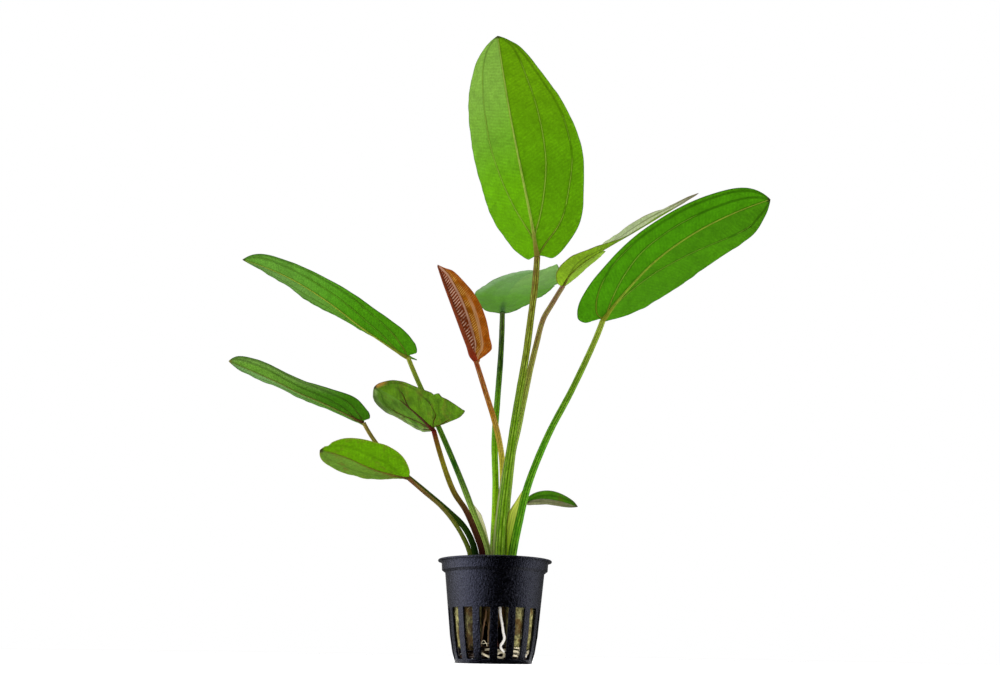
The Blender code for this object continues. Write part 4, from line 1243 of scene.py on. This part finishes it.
def leaf_tissue(g, look, nearest, rungs):
    """Green tissue, other towards the tip, with painted sheen, pale veinlets, painted light and
    shade of crumples, and painted shade beside the veins and in the groove at the base.
    """
    side = g.read("side")
    # where the halves differ, the paler one carries painted sheen
    tissue = g.mix(side, *look["halves"])
    if "upper" in look:
        tissue = g.mix(g.read("under"), look["upper"], tissue)
    # towards the tip: painted sheen on most leaves, the twisted leaf's own browner tip
    if "far" in look:
        tissue = g.mix(g.ease(g.read("place"), *look.get("far_at", (0.3, 0.85))), tissue,
                       g.mix(side, *look["far"]))
    # painted sheen along a margin
    if "pale" in look:
        half, pale, reach, start, end = look["pale"]
        on_half = side if half else g.flip(side)
        near = g.times(g.ease(g.read("edge"), 0.25 * reach, reach, 0.8, 0),
                       g.ease(g.read("place"), start, end))
        tissue = g.mix(g.times(on_half, near), tissue, pale)
    for scale, depth in ((45, 0.08), (220, 0.08), (900, 0.13)):
        tissue = g.mottle(tissue, scale, depth)
    # painted light and shade of crumples
    if "patches" in look:
        tissue = g.mottle(tissue, *look["patches"])
    strength = look.get("ladder", LADDER)[1]
    tissue = g.shade(tissue, g.ease(rungs, 0, 1, 1 - 0.5 * strength, 1 + 1.6 * strength))
    # painted shade beside the veins
    tissue = g.shade(tissue, g.ease(nearest, 0.3, 0.85, look.get("halo", 0.68), 1))
    # painted shade in the groove at the base, in the base colour
    if "valley" in look:
        groove = g.times(g.ease(g.read("rib"), 0.2, 2.6, look["valley"], 0),
                         g.ease(g.read("place"), 0.08, 0.3, 1, 0))
        tissue = g.mix(groove, tissue, look["base"])
    if "stain" in look:
        at_margin = g.times(g.ease(g.read("place"), 0.78, 0.93), g.flip(side),
                            g.ease(g.read("edge"), 0.8, 4.2, 0.85, 0))
        tissue = g.mix(at_margin, tissue, look["stain"])
    if "blotch" in look:
        blotch = g.times(g.ease(g.noise(150, 4, roughness=0.7), 0.52, 0.68), look["blotch"])
        tissue = g.mix(blotch, tissue, tint(110, 84, 36))
    return tissue


def young_tissue(g, rungs):
    """Red tissue by the midrib, amber past the first side vein, orange-brown at the margin, and cross
    veinlets made pale by painted highlight.
    """
    vein_a, vein_b = g.read("vein_a"), g.read("vein_b")
    past_a, past_b = g.ease(vein_a, -0.5, 0.3), g.ease(vein_b, -0.5, 0.5)
    tissue = g.mix(past_a, tint(106, 36, 6), g.mix(past_b, tint(144, 84, 6), tint(146, 74, 4)))
    tissue = g.mix(g.ease(vein_a, 0.6, 1.8, 0.7, 0), tissue, tint(98, 40, 4))
    fine_rungs = ladder_rungs(g, 1.15, g.size(vein_a))
    rungs = g.mix(past_a, rungs, fine_rungs)
    for scale, depth in ((120, 0.12), (700, 0.2)):
        tissue = g.mottle(tissue, scale, depth)
    # the rungs' pale pink-white and gold: painted highlight on the raised veinlets
    rung_highlight = g.mix(past_a, tint(206, 164, 138), tint(204, 156, 76))
    rung_highlight_mask = g.times(rungs, g.ease(vein_b, -0.4, 0.4, 0.95, 0.4))
    tissue = g.mix(rung_highlight_mask, tissue, rung_highlight)
    band_a = g.ease(g.size(vein_a), 0.3, 0.7, 0.75, 0)
    tissue = g.mix(band_a, tissue, tint(190, 150, 124))
    band_b = g.times(g.ease(g.size(vein_b), 0.5, 1.1, 0.85, 0), g.ease(g.read("place"), 0.45, 0.65, 1, 0))
    return g.mix(band_b, tissue, tint(186, 140, 95))


def leaf_material(name, look):
    """Blade tissue with its veins, its thin dark margin and its brown tip."""
    g = Skin(name)
    nearest = g.math("MINIMUM", g.size(g.read("vein_a")), g.size(g.read("vein_b")))
    nearest = g.math("MINIMUM", g.read("rib"), nearest)
    rungs = ladder_rungs(g, look.get("ladder", LADDER)[0], nearest)
    is_vein = g.read("vein")
    if name == "leaf_young":
        tissue = young_tissue(g, rungs)
        glow_colour = g.mix(0.5, tissue, tint(220, 110, 20))
    else:
        tissue = leaf_tissue(g, look, nearest, rungs)
        upper_line = g.times(g.ease(nearest, 0.2, 0.5, look.get("upper_vein", 0.6), 0),
                             g.flip(g.read("under")))
        tissue = g.mix(upper_line, tissue, look["vein"])
        glow_colour = g.mix(0.35, tissue, tint(150, 190, 10))
    ribbed = g.mix(g.read("lateral"), look["vein"], look.get("side_vein", look["vein"]))
    ribbed = g.mix(g.ease(g.read("place"), 0.0, 0.2), look["base"], ribbed)
    tissue = g.mix(is_vein, tissue, g.mottle(ribbed, 500, 0.15))

    margin = look.get("margin") or darker(look["halves"][0], 0.4)
    rim = g.times(g.ease(g.read("edge"), 0.15, 0.65, 0.8, 0), g.flip(is_vein))
    tissue = g.mix(rim, tissue, margin)
    near_tip = g.ease(g.plus(g.read("tip"), g.times(g.noise(400, 2), 1.6)), 1.6, 3.4, 0.9, 0)
    tissue = g.mix(near_tip, tissue, look.get("tip", tint(52, 46, 26)))

    grain = g.plus(g.times(rungs, 0.25), g.times(g.noise(1300, 2), 0.7))
    rough = g.ease(g.noise(90), 0.3, 0.7, 0.36, 0.52)
    shader = g.principled(tissue, rough, g.bump(grain, 0.12, 0.7), specular=0.03)
    return g.finish(shader, glow=0.3, glow_colour=glow_colour)


def stalk_material(name, stalk):
    """A furrowed stalk: dark dashes run down its furrows, which take painted shade, and its pale
    ridges carry painted highlight.
    """
    g = Skin(name)
    colours = stalk["colours"]
    wander = g.times(g.math("SUBTRACT", g.noise(40, 2), 0.5), 0.14)
    skin = g.ramp(g.plus(g.read("share"), wander), list(zip((0.0, 0.22, 0.5, 0.8, 1.0), colours)))
    turn, run = g.math("ARCTAN2", g.read("turn_y"), g.read("turn_x")), g.read("run")
    ridge = g.math("COSINE", g.times(turn, FURROWS))
    streaks = g.noise(1.0, 3, g.combine(g.times(turn, 2.2), g.times(run, 0.16)))
    # pale streaks on the ridges: their own colour with painted highlight
    ridge_tone_and_highlight = g.times(g.ease(ridge, -0.2, 0.9), g.ease(streaks, 0.42, 0.62, 0.0, 0.6))
    skin = g.mix(ridge_tone_and_highlight, skin, stalk["ridge"])
    # painted shade in the furrows
    skin = g.shade(skin, g.ease(ridge, -1.0, -0.1, stalk.get("furrow_shade", 0.55), 1.04))
    step = g.plus(g.times(run, 0.62), g.times(g.noise(300, 1), 2.0))
    dash = g.ease(g.math("FRACT", step), 0.3, 0.42)
    marked = g.ease(g.noise(1.0, 2, g.combine(g.times(turn, 1.3), g.times(run, 0.05), 7.0)),
                    0.42, 0.5, 0.25, 0.9)
    dotted = g.times(dash, marked, g.ease(ridge, -0.95, -0.45, 1, 0))
    skin = g.mix(dotted, skin, darker(colours[2], 0.12))
    skin = g.mottle(skin, 900, 0.16)

    wing_edge = g.read("wing_edge")
    veil = g.mix(g.ease(g.read("wing_rise"), 0.2, 0.95), *stalk.get("veil", (colours[0], colours[1])))
    lines = g.noise(1.0, 2, g.combine(g.times(wing_edge, 7.0), g.times(run, 0.07)))
    veil = g.shade(veil, g.ease(lines, 0.35, 0.65, 0.72, 1.12))
    veil = g.mix(g.ease(wing_edge, 0.86, 0.97, 0, 0.8), veil, tint(104, 66, 40))
    skin = g.mix(g.read("wing"), skin, veil)

    fine = g.noise(900, 3)
    height = g.plus(g.times(ridge, 0.5), fine)
    shader = g.principled(skin, g.ease(fine, 0.3, 0.7, 0.26, 0.42), g.bump(height, 0.1, 0.5),
                          specular=stalk.get("gloss", 0.08))
    return g.finish(shader, glow=0.2, glow_colour=skin)


def pot_material():
    """Black moulded plastic, faintly pebbled, with a bluish satin gloss and pale specks of painted glint.
    """
    g = Skin("pot_plastic")
    pebble, blotchy = g.noise(1250, 2, roughness=0.6), g.noise(160, 4)
    skin = g.mix(g.ease(blotchy, 0.35, 0.75), (0.0005, 0.0005, 0.0008), (0.001, 0.001, 0.0016))
    # pale specks: painted glints
    skin = g.mix(g.ease(g.noise(1150, 2), 0.6, 0.7, 0, 0.6), skin, (0.02, 0.02, 0.026))
    rough = g.plus(g.ease(g.noise(1000, 2), 0.35, 0.65, 0.16, 0.34), g.times(g.read("inside"), 0.3))
    height = g.plus(pebble, g.times(blotchy, 0.15))
    shader = g.principled(skin, rough, g.bump(height, 0.55, 0.8), specular=0.42, tinted=(0.6, 0.64, 1.0))
    return g.finish(shader)


def wool_material():
    """Mineral wool: olive fibres with brown algae stains, and painted shade, near black, on its inner
    faces and at its shaded places.
    """
    g = Skin("rockwool_fibres")
    fibres = g.noise(900, 4, roughness=0.7)
    skin = g.mix(g.ease(fibres, 0.32, 0.68), tint(62, 56, 26), tint(176, 170, 112))
    skin = g.mix(g.ease(g.noise(130, 3), 0.48, 0.6, 0, 0.85), skin, tint(84, 56, 18))
    loose = g.times(g.read("fibre"), g.ease(g.read("tone"), 0.3, 1, 0, 0.75))
    skin = g.mix(loose, skin, tint(236, 232, 180))
    # painted shade, near black
    skin = g.mix(g.read("damp"), skin, tint(34, 22, 8))
    shader = g.principled(skin, 0.8, g.bump(fibres, 0.5, 0.8), specular=0.2)
    return g.finish(shader)


def root_material(name, pale, dark, stained=0.55):
    """Fleshy root skin, browner here and there; stained is where the brown starts."""
    g = Skin(name)
    patches = g.plus(g.noise(260, 3), g.times(g.read("tone"), 0.35))
    skin = g.mix(g.ease(patches, stained, stained + 0.3), pale, dark)
    fine = g.noise(1800, 2)
    skin = g.mix(g.ease(fine, 0.4, 0.7, 0, 0.3 * (1 - stained)), skin, dark)
    shader = g.principled(skin, 0.42, g.bump(fine, 0.08, 0.6), specular=0.45)
    return g.finish(shader, glow=0.12, glow_colour=skin)


# Studio

def add_light(name, place, size, radiance, in_gloss=False):
    """A soft box of a given size that looks at the plant; its power follows from its radiance."""
    lamp = bpy.data.lights.new(name, "AREA")
    lamp.shape = "RECTANGLE"
    lamp.size, lamp.size_y = size[0] * MM, size[1] * MM
    lamp.energy = radiance * math.pi * lamp.size * lamp.size_y
    box = linked(name, lamp)
    box.visible_glossy = in_gloss
    box.location = Vector(place) * MM
    box.rotation_euler = (Vector(LIGHT_TARGET) * MM - box.location).to_track_quat("-Z", "Y").to_euler()


def turned_from_front(g, direction):
    """A direction's angle from the front, seen from above, in radians."""
    apart = g.node("ShaderNodeSeparateXYZ")
    g.tree.links.new(direction, apart.inputs[0])
    return g.math("ARCTAN2", apart.outputs[0], g.times(apart.outputs[1], -1.0))


def gloss_level(g, azimuth):
    """How bright the room looks in gloss: nought towards the front, and dim behind the plant."""
    left, right, left_fade, right_fade = (math.radians(angle) for angle in (*DARK_SECTOR, *DARK_FADES))
    front = g.times(g.ease(azimuth, left - left_fade, left),
                    g.ease(azimuth, right, right + right_fade, 1, 0))
    behind = g.ease(g.size(azimuth), *(math.radians(angle) for angle in DIM_BEHIND), 1, DIM_LEVEL)
    return g.times(g.flip(front), behind)


def make_world():
    """White behind the plant and around it, dimmer as light, and dark in front in its gloss."""
    world = bpy.data.worlds.new("studio")
    bpy.context.scene.world = world
    world.use_nodes = True
    g = Graph(world.node_tree)
    background = g.tree.nodes["Background"]
    background.inputs["Color"].default_value = (1, 1, 1, 1)
    rays = g.node("ShaderNodeLightPath").outputs
    direction = g.node("ShaderNodeTexCoord").outputs["Generated"]
    seen = g.ease(rays["Is Camera Ray"], 0, 1, WORLD_LIGHT, 1.0)
    azimuth = turned_from_front(g, direction)
    gloss = g.times(gloss_level(g, azimuth), g.ease(azimuth, -0.2, 0.2, *WORLD_GLOSS))
    made = g.node("ShaderNodeMix", data_type="FLOAT")
    g.feed(made.inputs[0], rays["Is Glossy Ray"])
    g.feed(made.inputs[2], seen)
    g.feed(made.inputs[3], gloss)
    g.feed(background.inputs["Strength"], made.outputs[0])


def make_floor():
    """A pale round floor that fades out into the white around it."""
    shape = Shape()
    shape.add(around(ROOM_FLOOR_RADIUS, full_turn(96), 0), [tuple(range(96))])
    g = Skin("pale_floor")
    distance = g.node("ShaderNodeVectorMath", operation="LENGTH")
    g.feed(distance.inputs[0], g.object_place)
    in_gloss = g.node("ShaderNodeLightPath").outputs["Is Glossy Ray"]
    level = gloss_level(g, turned_from_front(g, g.object_place))
    dark = g.times(in_gloss, g.flip(level))
    shader = g.principled(g.mix(dark, tint(252, 252, 252), (0.004, 0.004, 0.005)), 0.7, specular=0.0)
    shader.inputs["Emission Color"].default_value = (1, 1, 1, 1)
    g.feed(shader.inputs["Emission Strength"], g.times(g.flip(dark), FLOOR_GLOW))
    clear = g.node("ShaderNodeBsdfTransparent")
    g.finish(g.either(g.ease(distance.outputs["Value"], 0.3, 0.58), shader, clear))
    shape.build("floor", g.material)


def make_camera():
    """The camera at the photograph's viewing angle."""
    data = bpy.data.cameras.new("camera")
    data.sensor_width = SENSOR_WIDTH
    data.lens = FOCAL_PIXELS / PICTURE_WIDTH * SENSOR_WIDTH
    data.clip_start, data.clip_end = 0.01, 10
    camera = linked("camera", data)
    turned = (Matrix.Rotation(math.radians(90 + CAMERA_PITCH), 4, "X")
              @ Matrix.Rotation(math.radians(CAMERA_ROLL), 4, "Z"))
    camera.matrix_world = Matrix.Translation([value * MM for value in CAMERA_PLACE]) @ turned
    bpy.context.scene.camera = camera


def make_studio():
    """The white room with its floor, its light and the camera."""
    make_world()
    make_floor()
    add_light("left box", (-700, -130, 300), (900, 700), 3.2)
    add_light("right box", (700, -100, 280), (800, 700), 3.5)
    add_light("top box", (60, 160, 820), (620, 520), 1.4, in_gloss=True)
    make_camera()
    bpy.context.scene.view_settings.view_transform = "Standard"
    bpy.context.scene.view_settings.look = "None"


def main():
    """Every piece and the studio."""
    make_pot()
    make_rockwool()
    make_crown()
    make_root_mat()
    for name, root in ROOTS.items():
        make_root(name, root)
    for name, stalk in STALKS.items():
        make_stalk(name, stalk)
    for name, leaf in LEAVES.items():
        make_leaf(name, leaf)
    make_studio()


main()
